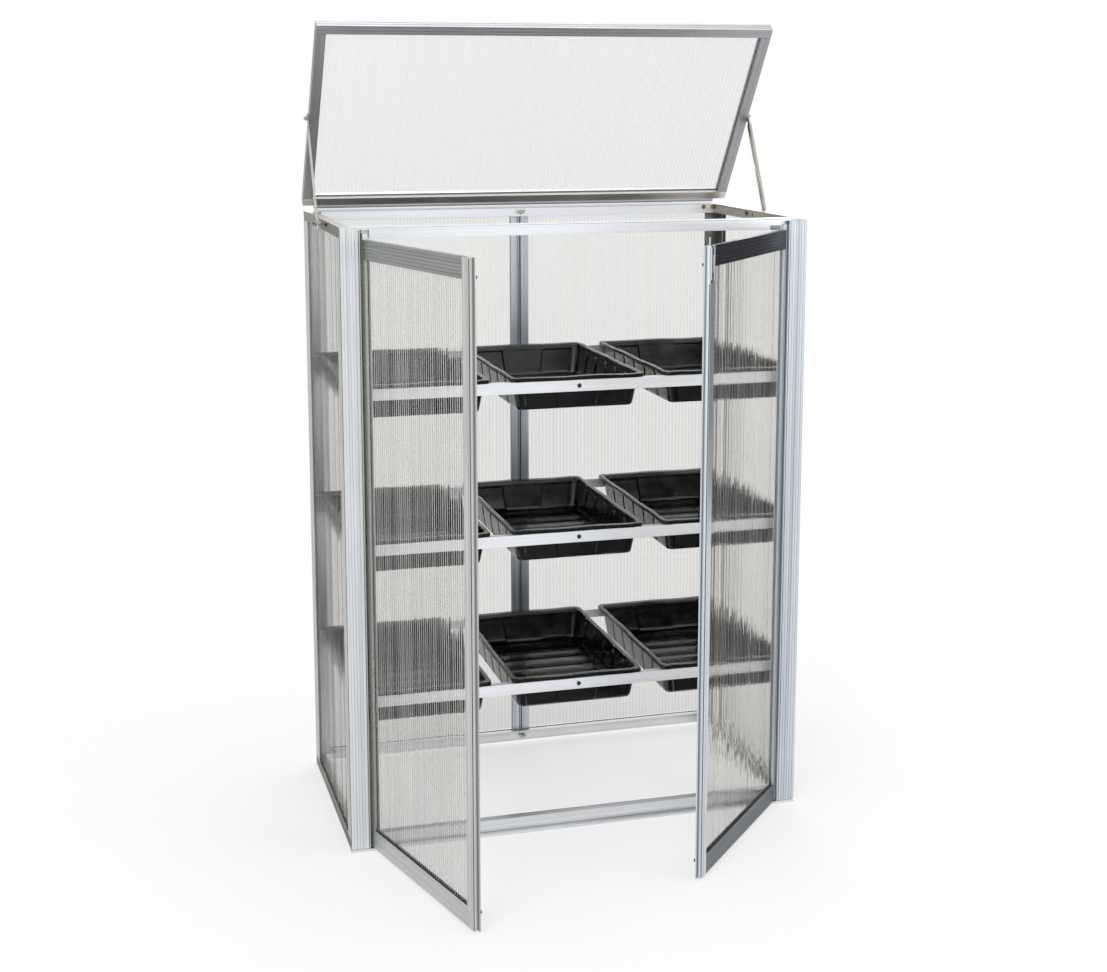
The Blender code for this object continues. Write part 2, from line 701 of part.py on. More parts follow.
def middle_bolt(word, height):
    seat = REAR_RAIL_Y - FIT_GAP
    bolt_and_nut(
        "middle_bolt_" + word,
        "y",
        seat - NUT_THICKNESS / 2,
        seat - BOLT_SEAT_STEP,
        seat - NUT_THICKNESS - BOLT_END,
        (0, 0, height),
    )


# Glazing of the body


def body_sheets():
    reach = SHEET_GROOVE_DEPTH - SHEET_PLAY
    half = SHEET_THICKNESS / 2
    side_y = POST_SIDE_DEPTH - reach, BODY_DEPTH - POST_SIDE_DEPTH + reach
    side_z = SIDE_RAIL_HEIGHT - reach, SIDE_TOP_LOW + reach
    rear_low = REAR_RAIL_BOTTOM_Z + REAR_RAIL_BOTTOM_HEIGHT - reach
    rear_high = REAR_TOP_LOW + reach
    near = MIDDLE_POST_WIDTH / 2 - reach
    far = POST_INNER_X + reach
    for side, word in SIDES:
        box(
            "sheet_" + word,
            ((SIDE_SHEET_X - half) * side, side_y[0], side_z[0]),
            ((SIDE_SHEET_X + half) * side, side_y[1], side_z[1]),
            "twin_wall_sheet",
        )
        box(
            "sheet_rear_" + word,
            (near * side, REAR_SHEET_Y - half, rear_low),
            (far * side, REAR_SHEET_Y + half, rear_high),
            "twin_wall_sheet",
        )


# Shelves and trays


def shelf_rails(word, height):
    wall = SHELF_RAIL_WALL
    low = height - SHELF_RAIL_HEIGHT
    front, rear = SHELF_FRONT_Y, SHELF_REAR_Y
    half = POST_SIDE_INNER_X - FIT_GAP
    front_outline = [
        (front, low),
        (front + wall, low),
        (front + wall, height - wall),
        (front + SHELF_FRONT_FLANGE, height - wall),
        (front + SHELF_FRONT_FLANGE, height),
        (front, height),
    ]
    rear_outline = [
        (rear, low),
        (rear, height),
        (rear - SHELF_REAR_FLANGE, height),
        (rear - SHELF_REAR_FLANGE, height - wall),
        (rear - wall, height - wall),
        (rear - wall, low),
    ]
    rail = extrusion("shelf_rail_front_" + word, front_outline, "x", -half, half, "white_aluminium")
    hole = rod_cutter(
        "shelf_hole_" + word,
        (0, front, height - SHELF_RAIL_HEIGHT / 2),
        SHELF_HOLE_RADIUS,
        2 * SMALL_RUN,
        "y",
    )
    cut(rail, hole)
    extrusion("shelf_rail_rear_" + word, rear_outline, "x", -half, half, "white_aluminium")


def tray_sizes():
    room = 2 * POST_SIDE_INNER_X - 2 * TRAY_SIDE_SPACE
    gaps = (len(TRAY_NAMES) - 1) * TRAY_BETWEEN
    rim_width = (room - gaps) / len(TRAY_NAMES)
    rim_front = SHELF_FRONT_Y - TRAY_RIM_PROUD
    rim_rear = SHELF_REAR_Y - TRAY_RIM_REAR_SPACE
    wall_front = SHELF_FRONT_Y + SHELF_FRONT_FLANGE + TRAY_RAIL_SPACE
    wall_rear = SHELF_REAR_Y - SHELF_REAR_FLANGE - TRAY_RAIL_SPACE
    return rim_width, rim_front, rim_rear, wall_front, wall_rear


def tray_mesh(name):
    # Origin: middle of the tray's width, y = 0 at the body's front, z = 0 on the shelf.
    rim_width, rim_front, rim_rear, wall_front, wall_rear = tray_sizes()
    half_width = rim_width / 2 - TRAY_SIDE_FLANGE
    middle = (wall_front + wall_rear) / 2
    half_depth = (wall_rear - wall_front) / 2
    top = TRAY_RIM_RISE - TRAY_WALL
    floor = TRAY_RIM_RISE - TRAY_HEIGHT
    body = bmesh.new()
    bmesh.ops.create_cube(body, size=2.0)
    for vertex in body.verts:
        lean = 0 if vertex.co.z > 0 else TRAY_DRAFT
        vertex.co.x *= half_width - lean
        vertex.co.y = middle + vertex.co.y * (half_depth - lean)
        vertex.co.z = top if vertex.co.z > 0 else floor
    lid = [face for face in body.faces if face.normal.z > 0.9]
    bmesh.ops.delete(body, geom=lid, context="FACES_ONLY")
    corners = [edge for edge in body.edges if abs(edge.verts[0].co.z - edge.verts[1].co.z) > MM]
    bmesh.ops.bevel(
        body, geom=corners, offset=TRAY_CORNER_RADIUS, segments=TRAY_CORNER_STEPS,
        profile=0.5, affect="EDGES",
    )
    base = [edge for edge in body.edges if all(vertex.co.z < floor + MM for vertex in edge.verts)]
    base = [edge for edge in base if len({round(face.normal.z) for face in edge.link_faces}) > 1]
    bmesh.ops.bevel(
        body, geom=base, offset=TRAY_FLOOR_BEVEL, segments=1, profile=0.5, affect="EDGES"
    )
    front_flange = wall_front - rim_front - TRAY_WALL
    rear_flange = rim_rear - wall_rear - TRAY_WALL
    side_flange = TRAY_SIDE_FLANGE - TRAY_WALL
    rim_drop = top - FIT_GAP
    for out, down in ((1, 0), (0, rim_drop)):
        edges = [edge for edge in body.edges if edge.is_boundary]
        grown = bmesh.ops.extrude_edge_only(body, edges=edges)["geom"]
        for vertex in (item for item in grown if isinstance(item, bmesh.types.BMVert)):
            end_flange = front_flange if vertex.co.y < middle else rear_flange
            vertex.co.x += math.copysign(side_flange, vertex.co.x) * out
            vertex.co.y += math.copysign(end_flange, vertex.co.y - middle) * out
            vertex.co.z -= down
    bmesh.ops.recalc_face_normals(body, faces=body.faces)
    under = min(body.faces, key=lambda face: face.calc_center_median().z)
    if under.normal.z > 0:
        bmesh.ops.reverse_faces(body, faces=body.faces)
    mesh = bpy.data.meshes.new(name)
    body.to_mesh(mesh)
    body.free()
    return mesh


def trays(shelf_word, height):
    rim_width = tray_sizes()[0]
    for place, word in enumerate(TRAY_NAMES):
        name = "tray_" + shelf_word + "_" + word
        tray = add_piece(name, tray_mesh(name), "black_plastic")
        step = rim_width + TRAY_BETWEEN
        tray.location = ((place - (len(TRAY_NAMES) - 1) / 2) * step, 0, height)
        wall = tray.modifiers.new("wall", "SOLIDIFY")
        wall.thickness = TRAY_WALL
        wall.offset = -1
        wall.use_even_offset = True
        shade_round(tray)


# Doors: each is built shut in its pivot's own space, hinge axis at the origin,
# the door running towards the middle of the body.


def door(side, word, opening):
    turn = opening * side
    pivot = add_pivot(word + "_door_pivot", (HINGE_X * side, HINGE_Y, 0), (0, 0, turn))
    half = DOOR_THICKNESS / 2
    slab = KNUCKLE_RADIUS - HINGE_SLAB_STEP
    slab_angle = math.degrees(math.asin(slab / KNUCKLE_RADIUS))
    stile = HINGE_STILE_WIDTH
    groove_start = stile - SHEET_GROOVE_DEPTH
    top_low = DOOR_HIGH - DOOR_TOP_RAIL
    bottom_high = DOOR_LOW + DOOR_BOTTOM_RAIL

    outline = [
        (stile, -slab),
        (stile, -HALF_GROOVE),
        (groove_start, -HALF_GROOVE),
        (groove_start, HALF_GROOVE),
        (stile, HALF_GROOVE),
        (stile, slab),
    ]
    outline += arc((0, 0), KNUCKLE_RADIUS, slab_angle, 360 - slab_angle, KNUCKLE_STEPS)
    name = word + "_door_hinge_stile"
    high = DOOR_HIGH + HINGE_PIN_RISE
    hinge_stile = extrusion(
        name, mirrored(outline, -side), "z", DOOR_LOW, high, "grey_aluminium", pivot
    )
    rail_end = KNUCKLE_RADIUS + HINGE_RUN
    for end, start, stop in (
        ("top", top_low - FIT_GAP, high + SMALL_RUN),
        ("foot", DOOR_LOW - SMALL_RUN, bottom_high + FIT_GAP),
    ):
        room = box_cutter(
            "rail_room_" + end + "_" + word,
            (-side * (rail_end - FIT_GAP), -half - SMALL_RUN, start),
            (-side * (stile + SMALL_RUN), half + SMALL_RUN, stop),
            pivot,
        )
        cut(hinge_stile, room)
    shade_round(hinge_stile)

    rail_stop = DOOR_STILE_X - FIT_GAP
    outer = grooved_edge((-half, DOOR_HIGH), (-half, top_low), DOOR_RAIL_GROOVES)
    top_outline = outer + [
        (-half, top_low),
        (-HALF_GROOVE, top_low),
        (-HALF_GROOVE, top_low + SHEET_GROOVE_DEPTH),
        (HALF_GROOVE, top_low + SHEET_GROOVE_DEPTH),
        (HALF_GROOVE, top_low),
        (half, top_low),
        (half, DOOR_HIGH),
    ]
    outer = grooved_edge((-half, bottom_high), (-half, DOOR_LOW), DOOR_RAIL_GROOVES)
    bottom_outline = outer + [
        (-half, DOOR_LOW),
        (half, DOOR_LOW),
        (half, bottom_high),
        (HALF_GROOVE, bottom_high),
        (HALF_GROOVE, bottom_high - SHEET_GROOVE_DEPTH),
        (-HALF_GROOVE, bottom_high - SHEET_GROOVE_DEPTH),
        (-HALF_GROOVE, bottom_high),
    ]
    start, stop = sorted((-side * rail_end, -side * rail_stop))
    rail_finish = "grey_aluminium" if side < 0 else "dark_aluminium"
    extrusion(word + "_door_top_rail", top_outline, "x", start, stop, rail_finish, pivot)
    extrusion(word + "_door_bottom_rail", bottom_outline, "x", start, stop, rail_finish, pivot)

    edge = DOOR_STILE_X + FREE_STILE_WIDTH
    free_groove = DOOR_STILE_X + SHEET_GROOVE_DEPTH
    lip = half - DOOR_LIP_THICKNESS
    bead = FREE_STILE_BEAD
    outline = [(DOOR_STILE_X, -half)]
    outline += arc((edge - bead, -half + bead), bead, -90, 0, SMALL_ARC_STEPS)
    outline += [
        (edge, lip),
        (DOOR_WIDTH, lip),
        (DOOR_WIDTH, half),
        (DOOR_STILE_X, half),
        (DOOR_STILE_X, HALF_GROOVE),
        (free_groove, HALF_GROOVE),
        (free_groove, -HALF_GROOVE),
        (DOOR_STILE_X, -HALF_GROOVE),
    ]
    name = word + "_door_free_stile"
    free_stile = extrusion(
        name, mirrored(outline, -side), "z", DOOR_LOW, DOOR_HIGH, "grey_aluminium", pivot
    )
    shade_round(free_stile)

    reach = SHEET_GROOVE_DEPTH - SHEET_PLAY
    box(
        word + "_door_sheet",
        (-side * (stile - reach), -SHEET_THICKNESS / 2, bottom_high - reach),
        (-side * (DOOR_STILE_X + reach), SHEET_THICKNESS / 2, top_low + reach),
        "twin_wall_sheet",
        pivot,
    )
    box(
        word + "_door_seal",
        (-side * (stile + FIT_GAP), -HALF_GROOVE - DOOR_SEAL_THICKNESS, bottom_high + FIT_GAP),
        (-side * rail_stop, -HALF_GROOVE, bottom_high + FIT_GAP + DOOR_SEAL_HEIGHT),
        "black_rubber",
        pivot,
    )
    return pivot, free_stile


def slide_bolt(side, pivot, stile):
    # The pocket is open at the stile's top and outer face; the bolt is drawn fully up.
    middle = DOOR_STILE_X + FREE_STILE_WIDTH - BOLT_EDGE_SPACE
    half_grip = BOLT_GRIP_WIDTH / 2
    half_tongue = BOLT_TONGUE_WIDTH / 2
    outer = -DOOR_THICKNESS / 2
    grip_high = DOOR_HIGH - BOLT_TRAVEL
    grip_low = grip_high - BOLT_GRIP_HEIGHT
    pocket = box_cutter(
        "bolt_pocket",
        (-side * (middle - half_grip - BOLT_SIDE_PLAY), outer - SMALL_RUN,
         grip_low - BOLT_TRAVEL - BOLT_END_PLAY),
        (-side * (middle + half_grip + BOLT_SIDE_PLAY), BOLT_TONGUE_BACK + FIT_GAP,
         DOOR_HIGH + SMALL_RUN),
        pivot,
    )
    cut(stile, pocket)
    bolt = box(
        "door_bolt",
        (-side * (middle - half_grip), outer - BOLT_GRIP_PROUD, grip_low),
        (-side * (middle + half_grip), BOLT_TONGUE_BACK, grip_high),
        "steel",
        pivot,
    )
    tongue = box_cutter(
        "bolt_tongue",
        (-side * (middle - half_tongue), BOLT_TONGUE_BACK - BOLT_TONGUE_THICKNESS,
         (grip_low + grip_high) / 2),
        (-side * (middle + half_tongue), BOLT_TONGUE_BACK, DOOR_HIGH + BOLT_TONGUE_RISE),
        pivot,
    )
    combine(bolt, tongue, "UNION")


# Lid: built shut in its pivot's space, running forward (-y) from the pivot.


def lid():
    pivot = add_pivot("lid_pivot", (0, LID_PIVOT_Y, LID_PIVOT_Z), (-LID_OPEN, 0, 0))
    half = LID_RAIL_HEIGHT / 2
    start = LID_HINGE_START
    end = start + LID_HINGE_WIDTH
    groove_end = end - SHEET_GROOVE_DEPTH
    neck_angle = math.degrees(math.acos(LID_NECK_START / LID_KNUCKLE_RADIUS))
    low_angle = math.degrees(math.asin(LID_NECK_LOW / LID_KNUCKLE_RADIUS))
    knuckle = arc((0, 0), LID_KNUCKLE_RADIUS, neck_angle, 360 - low_angle, KNUCKLE_STEPS)
    outline = [
        (end, -half),
        (end, -HALF_GROOVE),
        (groove_end, -HALF_GROOVE),
        (groove_end, HALF_GROOVE),
        (end, HALF_GROOVE),
        (end, half),
        (LID_NECK_START, half),
    ]
    outline += knuckle
    outline += [(start, -LID_NECK_LOW), (start, -half)]
    hinge_rail = extrusion(
        "lid_hinge_rail", mirrored(outline, -1), "x", -LID_HALF_WIDTH, LID_HALF_WIDTH,
        "grey_aluminium", pivot,
    )
    for side, word in SIDES:
        end_room = box_cutter(
            "lid_end_room_" + word,
            ((SIDE_RAIL_INNER_X - FIT_GAP) * side, SMALL_RUN, -half - SMALL_RUN),
            ((LID_HALF_WIDTH + SMALL_RUN) * side, -start, half + SMALL_RUN),
            pivot,
        )
        cut(hinge_rail, end_room)
    shade_round(hinge_rail)

    inner = LID_LENGTH - LID_RAIL_WIDTH
    groove_start = inner + SHEET_GROOVE_DEPTH
    outline = [(inner, -half)]
    outline += grooved_edge((inner, -half), (LID_LENGTH, -half), LID_RAIL_GROOVES)[1:]
    outline += grooved_edge((LID_LENGTH, -half), (LID_LENGTH, half), LID_RAIL_GROOVES)
    outline += [
        (LID_LENGTH, half),
        (inner, half),
        (inner, HALF_GROOVE),
        (groove_start, HALF_GROOVE),
        (groove_start, -HALF_GROOVE),
        (inner, -HALF_GROOVE),
    ]
    extrusion(
        "lid_front_rail", mirrored(outline, -1), "x", -LID_HALF_WIDTH, LID_HALF_WIDTH,
        "grey_aluminium", pivot,
    )

    groove_end = LID_SIDE_INNER_X + SHEET_GROOVE_DEPTH
    outline = [
        (LID_SIDE_INNER_X, -half),
        (LID_HALF_WIDTH, -half),
        (LID_HALF_WIDTH, half),
        (LID_SIDE_INNER_X, half),
        (LID_SIDE_INNER_X, HALF_GROOVE),
        (groove_end, HALF_GROOVE),
        (groove_end, -HALF_GROOVE),
        (LID_SIDE_INNER_X, -HALF_GROOVE),
    ]
    for side, word in SIDES:
        rail = extrusion(
            "lid_rail_" + word, mirrored(outline, side), "y", -inner + FIT_GAP, -end - FIT_GAP,
            "grey_aluminium", pivot,
        )
        seat = rod_cutter(
            "pivot_seat_" + word,
            ((LID_HALF_WIDTH - PIVOT_BOLT_SEAT / 2 + SMALL_RUN / 2) * side, -STAY_LID_REACH, 0),
            BOLT_RADIUS + BOLT_HOLE_PLAY,
            PIVOT_BOLT_SEAT + SMALL_RUN,
            "x",
            pivot,
        )
        cut(rail, seat)

    reach = SHEET_GROOVE_DEPTH - SHEET_PLAY
    half_sheet = SHEET_THICKNESS / 2
    box(
        "lid_sheet",
        (-LID_SIDE_INNER_X - reach, -inner - reach, -half_sheet),
        (LID_SIDE_INNER_X + reach, -end + reach, half_sheet),
        "twin_wall_sheet",
        pivot,
    )
    return pivot


# Stays: each is built hanging straight down from its pivot bolt.


def stay_bolt(name, side, inner_end, centre, parent, wings):
    # The nut sits outside the stay, and the thread runs inwards through it.
    nut_seat = STAY_X + STAY_THICKNESS + FIT_GAP
    nut_middle = nut_seat + NUT_THICKNESS / 2
    outer_end = nut_seat + NUT_THICKNESS + BOLT_END
    bolt = bolt_and_nut(
        name, "x", nut_middle * side, inner_end * side, outer_end * side, centre, parent
    )
    if wings:
        wing_name = "wings_" + name
        wing_outline = [
            (nut_middle - WING_THICKNESS, -WING_SPAN / 4),
            (nut_middle + WING_THICKNESS, -WING_SPAN / 4),
            (nut_middle + WING_RISE, -WING_SPAN / 2),
            (nut_middle + WING_RISE + WING_THICKNESS, -WING_SPAN / 2 + WING_THICKNESS),
            (nut_middle + 2 * WING_THICKNESS, 0),
            (nut_middle + WING_RISE + WING_THICKNESS, WING_SPAN / 2 - WING_THICKNESS),
            (nut_middle + WING_RISE, WING_SPAN / 2),
            (nut_middle + WING_THICKNESS, WING_SPAN / 4),
            (nut_middle - WING_THICKNESS, WING_SPAN / 4),
        ]
        wing_outline = [(x, y + centre[1]) for x, y in wing_outline]
        wings_piece = extruded_cutter(
            wing_name, mirrored(wing_outline, side), "z",
            centre[2] - WING_THICKNESS / 2, centre[2] + WING_THICKNESS / 2, parent,
        )
        combine(bolt, wings_piece, "UNION")


def stay(side, word, lid_pivot):
    pivot = add_pivot(
        word + "_stay_pivot",
        (0, -STAY_LID_REACH, 0),
        (LID_OPEN - STAY_LEAN, 0, 0),
        lid_pivot,
    )
    half = STAY_WIDTH / 2
    thick = STAY_THICKNESS
    outline = [
        (STAY_X, -half),
        (STAY_X + STAY_LEG, -half),
        (STAY_X + STAY_LEG, -half + thick),
        (STAY_X + thick, -half + thick),
        (STAY_X + thick, half),
        (STAY_X, half),
    ]
    foot = -STAY_LENGTH - STAY_FOOT_END
    name = "stay_" + word
    bar = extrusion(name, mirrored(outline, side), "z", foot, STAY_TOP_END, "steel", pivot)
    web = STAY_X + thick
    leg_far = web + STAY_LEG + SMALL_RUN
    for end, low, high in (
        ("top", -STAY_LEG_FREE_TOP, STAY_TOP_END + SMALL_RUN),
        ("foot", foot - SMALL_RUN, foot + STAY_LEG_FREE_FOOT),
    ):
        leg_cut = box_cutter(
            "leg_cut_" + end + "_" + word,
            (web * side, -half - SMALL_RUN, low),
            (leg_far * side, half + SMALL_RUN, high),
            pivot,
        )
        cut(bar, leg_cut)
    for hole, height in (("pivot", 0), ("foot", -STAY_LENGTH)):
        hole_cut = rod_cutter(
            hole + "_hole_" + word,
            (STAY_X * side, 0, height),
            BOLT_RADIUS + BOLT_HOLE_PLAY,
            2 * SMALL_RUN,
            "x",
            pivot,
        )
        cut(bar, hole_cut)
    hook = rod_cutter(
        "hook_cut_" + word,
        (STAY_X * side, half, -STAY_HOOK_AT),
        STAY_HOOK_RADIUS,
        2 * SMALL_RUN,
        "x",
        pivot,
        steps=HOOK_STEPS,
    )
    cut(bar, hook)
    notch = box_cutter(
        "notch_cut_" + word,
        ((STAY_X - SMALL_RUN) * side, half - STAY_NOTCH_DEPTH, -STAY_NOTCH_AT - STAY_NOTCH_LENGTH),
        ((STAY_X + SMALL_RUN) * side, half + SMALL_RUN, -STAY_NOTCH_AT),
        pivot,
    )
    cut(bar, notch)
    stay_bolt(
        "stay_pivot_bolt_" + word,
        side,
        LID_HALF_WIDTH - PIVOT_BOLT_SEAT + FIT_GAP,
        (0, -STAY_LID_REACH, 0),
        lid_pivot,
        wings=False,
    )
    stay_bolt(
        "stay_foot_bolt_" + word,
        side,
        HALF_WIDTH + STAY_BOLT_SPACE,
        (0, 0, -STAY_LENGTH),
        pivot,
        wings=True,
    )


clear_scene()
PARTS = new_collection("mini_greenhouse")
CUTTERS = new_collection("cutters")
SIDES = ((-1, "left"), (1, "right"))

for side, word in SIDES:
    front_post(side, word)
    rear_post(side, word)
    hinge_channel(side, word)
    side_rails(side, word)
front_top_rail()
front_sill()
rear_top_rail()
rear_bottom_rail()
middle_post()
middle_bolt("top", REAR_TOP_LOW + REAR_RAIL_TOP_HEIGHT / 2)
middle_bolt("foot", REAR_RAIL_BOTTOM_Z + REAR_RAIL_BOTTOM_HEIGHT / 2)
body_sheets()
for word, height in zip(SHELF_NAMES, SHELF_HEIGHTS):
    shelf_rails(word, height)
    trays(word, height)
door(-1, "left", LEFT_DOOR_OPEN)
right_pivot, right_free_stile = door(1, "right", RIGHT_DOOR_OPEN)
slide_bolt(1, right_pivot, right_free_stile)
lid_pivot = lid()
for side, word in SIDES:
    stay(side, word, lid_pivot)
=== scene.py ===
import math
import random

import bmesh
import bpy
from mathutils import Matrix, Vector


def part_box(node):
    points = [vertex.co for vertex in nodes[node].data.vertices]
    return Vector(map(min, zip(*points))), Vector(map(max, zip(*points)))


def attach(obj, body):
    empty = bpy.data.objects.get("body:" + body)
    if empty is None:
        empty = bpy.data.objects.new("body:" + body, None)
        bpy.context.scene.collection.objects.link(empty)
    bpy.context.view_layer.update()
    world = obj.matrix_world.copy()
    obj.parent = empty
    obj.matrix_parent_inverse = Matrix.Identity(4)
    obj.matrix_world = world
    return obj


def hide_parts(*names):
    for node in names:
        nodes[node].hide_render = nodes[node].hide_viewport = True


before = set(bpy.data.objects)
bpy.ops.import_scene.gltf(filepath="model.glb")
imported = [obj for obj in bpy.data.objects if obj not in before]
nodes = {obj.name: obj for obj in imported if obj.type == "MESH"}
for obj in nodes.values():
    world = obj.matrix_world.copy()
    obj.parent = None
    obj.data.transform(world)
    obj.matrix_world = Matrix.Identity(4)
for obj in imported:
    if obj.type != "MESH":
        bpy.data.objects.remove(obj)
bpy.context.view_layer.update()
scene = bpy.context.scene
dice = random.Random(11)
print("frame loaded")


# small helpers

def colour(red, green, blue):
    # screen values 0 to 255 into the linear values that Blender's sockets take
    def linear(value):
        value /= 255
        return value / 12.92 if value <= 0.04045 else ((value + 0.055) / 1.055) ** 2.4
    return (linear(red), linear(green), linear(blue), 1)


class Graph:
    # the nodes of one material or of the world, wired by socket name or number
    def __init__(self, owner):
        self.owner = owner
        owner.use_nodes = True
        self.tree = owner.node_tree
        self.tree.nodes.clear()

    def add(self, kind, sockets=None, **settings):
        made = self.tree.nodes.new("ShaderNode" + kind)
        for key, value in settings.items():
            setattr(made, key, value)
        for key, value in (sockets or {}).items():
            if isinstance(value, bpy.types.NodeSocket):
                self.tree.links.new(value, made.inputs[key])
            else:
                made.inputs[key].default_value = value
        return made

    def work(self, operation, first, second=0):
        return self.add("Math", {0: first, 1: second}, operation=operation).outputs[0]

    def plus(self, first, second):
        return self.work("ADD", first, second)

    def times(self, first, second):
        return self.work("MULTIPLY", first, second)

    def vectors(self, operation, first, second=(0, 0, 0)):
        return self.add("VectorMath", {0: first, 1: second}, operation=operation).outputs[0]

    def scaled(self, vector, amount):
        return self.add("VectorMath", {0: vector, "Scale": amount}, operation="SCALE").outputs[0]

    def part(self, vector, axis):
        return self.add("SeparateXYZ", {"Vector": vector}).outputs[axis]

    def divided(self, vector, sizes, turned=(0, 0, 0)):
        # turned coordinates, divided by the sizes in metres
        sockets = {"Vector": vector, "Rotation": turned, "Scale": sizes}
        return self.add("Mapping", sockets, vector_type="TEXTURE").outputs["Vector"]

    def stretched(self, along, sizes):
        # object coordinates with X laid along the piece, divided by the sizes in metres
        turned = Vector(along).to_track_quat("X", "Z").to_euler()
        return self.divided(self.add("TexCoord").outputs["Object"], sizes, turned)

    def noise(self, vector, detail=2, rough=0.5):
        sockets = {"Vector": vector, "Scale": 1, "Detail": detail, "Roughness": rough}
        return self.add("TexNoise", sockets).outputs["Fac"]

    def ramp(self, value, low, high, fromLow=0.3, fromHigh=0.7, **settings):
        # low where the value is at or under fromLow, high where it is at or over fromHigh
        sockets = {"Value": value, "From Min": fromLow, "From Max": fromHigh,
                   "To Min": low, "To Max": high}
        return self.add("MapRange", sockets, **settings).outputs["Result"]

    def blend(self, factor, first, second):
        return self.add("Mix", {0: factor, 6: first, 7: second}, data_type="RGBA").outputs[2]

    def mixed(self, factor, first, second):
        return self.add("MixShader", {0: factor, 1: first.outputs[0], 2: second.outputs[0]}).outputs[0]

    def openness(self, distance):
        # 1 on open faces, less in grooves and creases
        made = self.add("AmbientOcclusion", {"Distance": distance}, samples=6, only_local=True)
        return made.outputs["AO"]

    def bump(self, height, strength, distance):
        sockets = {"Height": height, "Strength": strength, "Distance": distance}
        return self.add("Bump", sockets).outputs["Normal"]

    def seenWhite(self):
        # 1 for what the camera sees, straight on, mirrored or through a sheet
        rays = self.add("LightPath").outputs
        mirrored = self.work("MAXIMUM", rays["Is Camera Ray"], rays["Is Glossy Ray"])
        return self.work("MAXIMUM", mirrored, rays["Is Transmission Ray"])

    def finish(self, shader, kind="OutputMaterial"):
        self.add(kind, {"Surface": shader})
        return self.owner


def newMaterial(name):
    return Graph(bpy.data.materials.new(name))


def newObject(name, data, place=(0, 0, 0)):
    made = bpy.data.objects.new(name, data)
    made.location = place
    scene.collection.objects.link(made)
    return made


def give(piece, material):
    piece.data.materials.clear()
    piece.data.materials.append(material)


def solidMesh(name, points, faces):
    # a mesh whose faces all look the same way, outward where it is closed
    mesh = bpy.data.meshes.new(name)
    mesh.from_pydata(points, [], faces)
    work = bmesh.new()
    work.from_mesh(mesh)
    bmesh.ops.recalc_face_normals(work, faces=work.faces)
    work.to_mesh(mesh)
    work.free()
    return mesh


def aimed(place, target, axis):
    # the turn that points an object's axis at the target
    return (Vector(target) - Vector(place)).to_track_quat(axis, "Y").to_euler()


# camera

view = {
    "lens": 57.0,
    "sensor": 36,
    "place": (-1.074, -3.586, 1.644),
    "turn": -15.74,
    "tilt": -9.64,
    "shiftDown": 0.09,
    "farthest": 200,
}


def makeCamera():
    data = bpy.data.cameras.new("camera")
    data.lens = view["lens"]
    data.sensor_width = view["sensor"]
    data.shift_y = -view["shiftDown"]
    data.clip_end = view["farthest"]
    camera = newObject("camera", data, view["place"])
    camera.rotation_euler = (math.radians(90 + view["tilt"]), 0, math.radians(view["turn"]))
    scene.camera = camera


makeCamera()
print("camera placed")


# floor, lamps and the white room

studio = {
    "floorHalf": 40,
    "floorColour": (0.90, 0.90, 0.905, 1),
    "fadeFrom": 1.0,
    "fadeTo": 2.4,
    "whiteNear": 0.62,  # how white the floor is made beside the greenhouse, where its shadow should show
    "roomLight": 0.62,
    "bounces": 32,
    "lamps": [
        # name, place, aimed at, width, height, watts
        ("lamp_key", (-2.9, -3.4, 3.3), (0, 0.1, 0.9), 2.4, 2.0, 95),
        ("lamp_fill", (3.3, -2.6, 2.2), (0.1, 0.2, 0.8), 2.2, 2.2, 45),
        ("lamp_top", (0.2, 0.4, 4.2), (0, 0.3, 0.6), 2.6, 2.6, 45),
        ("lamp_back", (1.2, 3.8, 2.6), (0, 0.4, 0.8), 2.6, 2.0, 45),
    ],
    "cards": [
        # boards that only reflections see: name, place, width, height, colour
        ("card_right", (2.9, 1.5, 0.95), 2.6, 3.6, (0.21, 0.21, 0.2163, 1)),
    ],
}
white = (1, 1, 1, 1)


def boardMesh(name, across, up):
    corners = [(-across, -up, 0), (across, -up, 0), (across, up, 0), (-across, up, 0)]
    mesh = bpy.data.meshes.new(name)
    mesh.from_pydata(corners, [], [(0, 1, 2, 3)])
    return mesh


def makeFloor():
    floor = newObject("floor", boardMesh("floor", studio["floorHalf"], studio["floorHalf"]))
    g = newMaterial("floor")
    place = g.add("TexCoord").outputs["Object"]
    distance = g.add("VectorMath", {0: place}, operation="LENGTH").outputs["Value"]
    far = g.ramp(distance, studio["whiteNear"], 1, studio["fadeFrom"], studio["fadeTo"],
                 interpolation_type="SMOOTHSTEP")
    paper = g.add("BsdfDiffuse", {"Color": studio["floorColour"]})
    bright = g.add("Emission", {"Color": white, "Strength": 1.0})
    give(floor, g.finish(g.mixed(g.times(far, g.seenWhite()), paper, bright)))


def makeRoom():
    g = Graph(bpy.data.worlds.new("room"))
    lit = g.add("Background", {"Color": white, "Strength": studio["roomLight"]})
    seen = g.add("Background", {"Color": white, "Strength": 1})
    scene.world = g.finish(g.mixed(g.seenWhite(), lit, seen), "OutputWorld")


def makeLamps():
    for name, place, target, width, height, watts in studio["lamps"]:
        data = bpy.data.lights.new(name, "AREA")
        data.shape = "RECTANGLE"
        data.size = width
        data.size_y = height
        data.energy = watts
        lamp = newObject(name, data, place)
        lamp.rotation_euler = aimed(place, target, "-Z")
        lamp.visible_camera = False
        lamp.visible_transmission = False


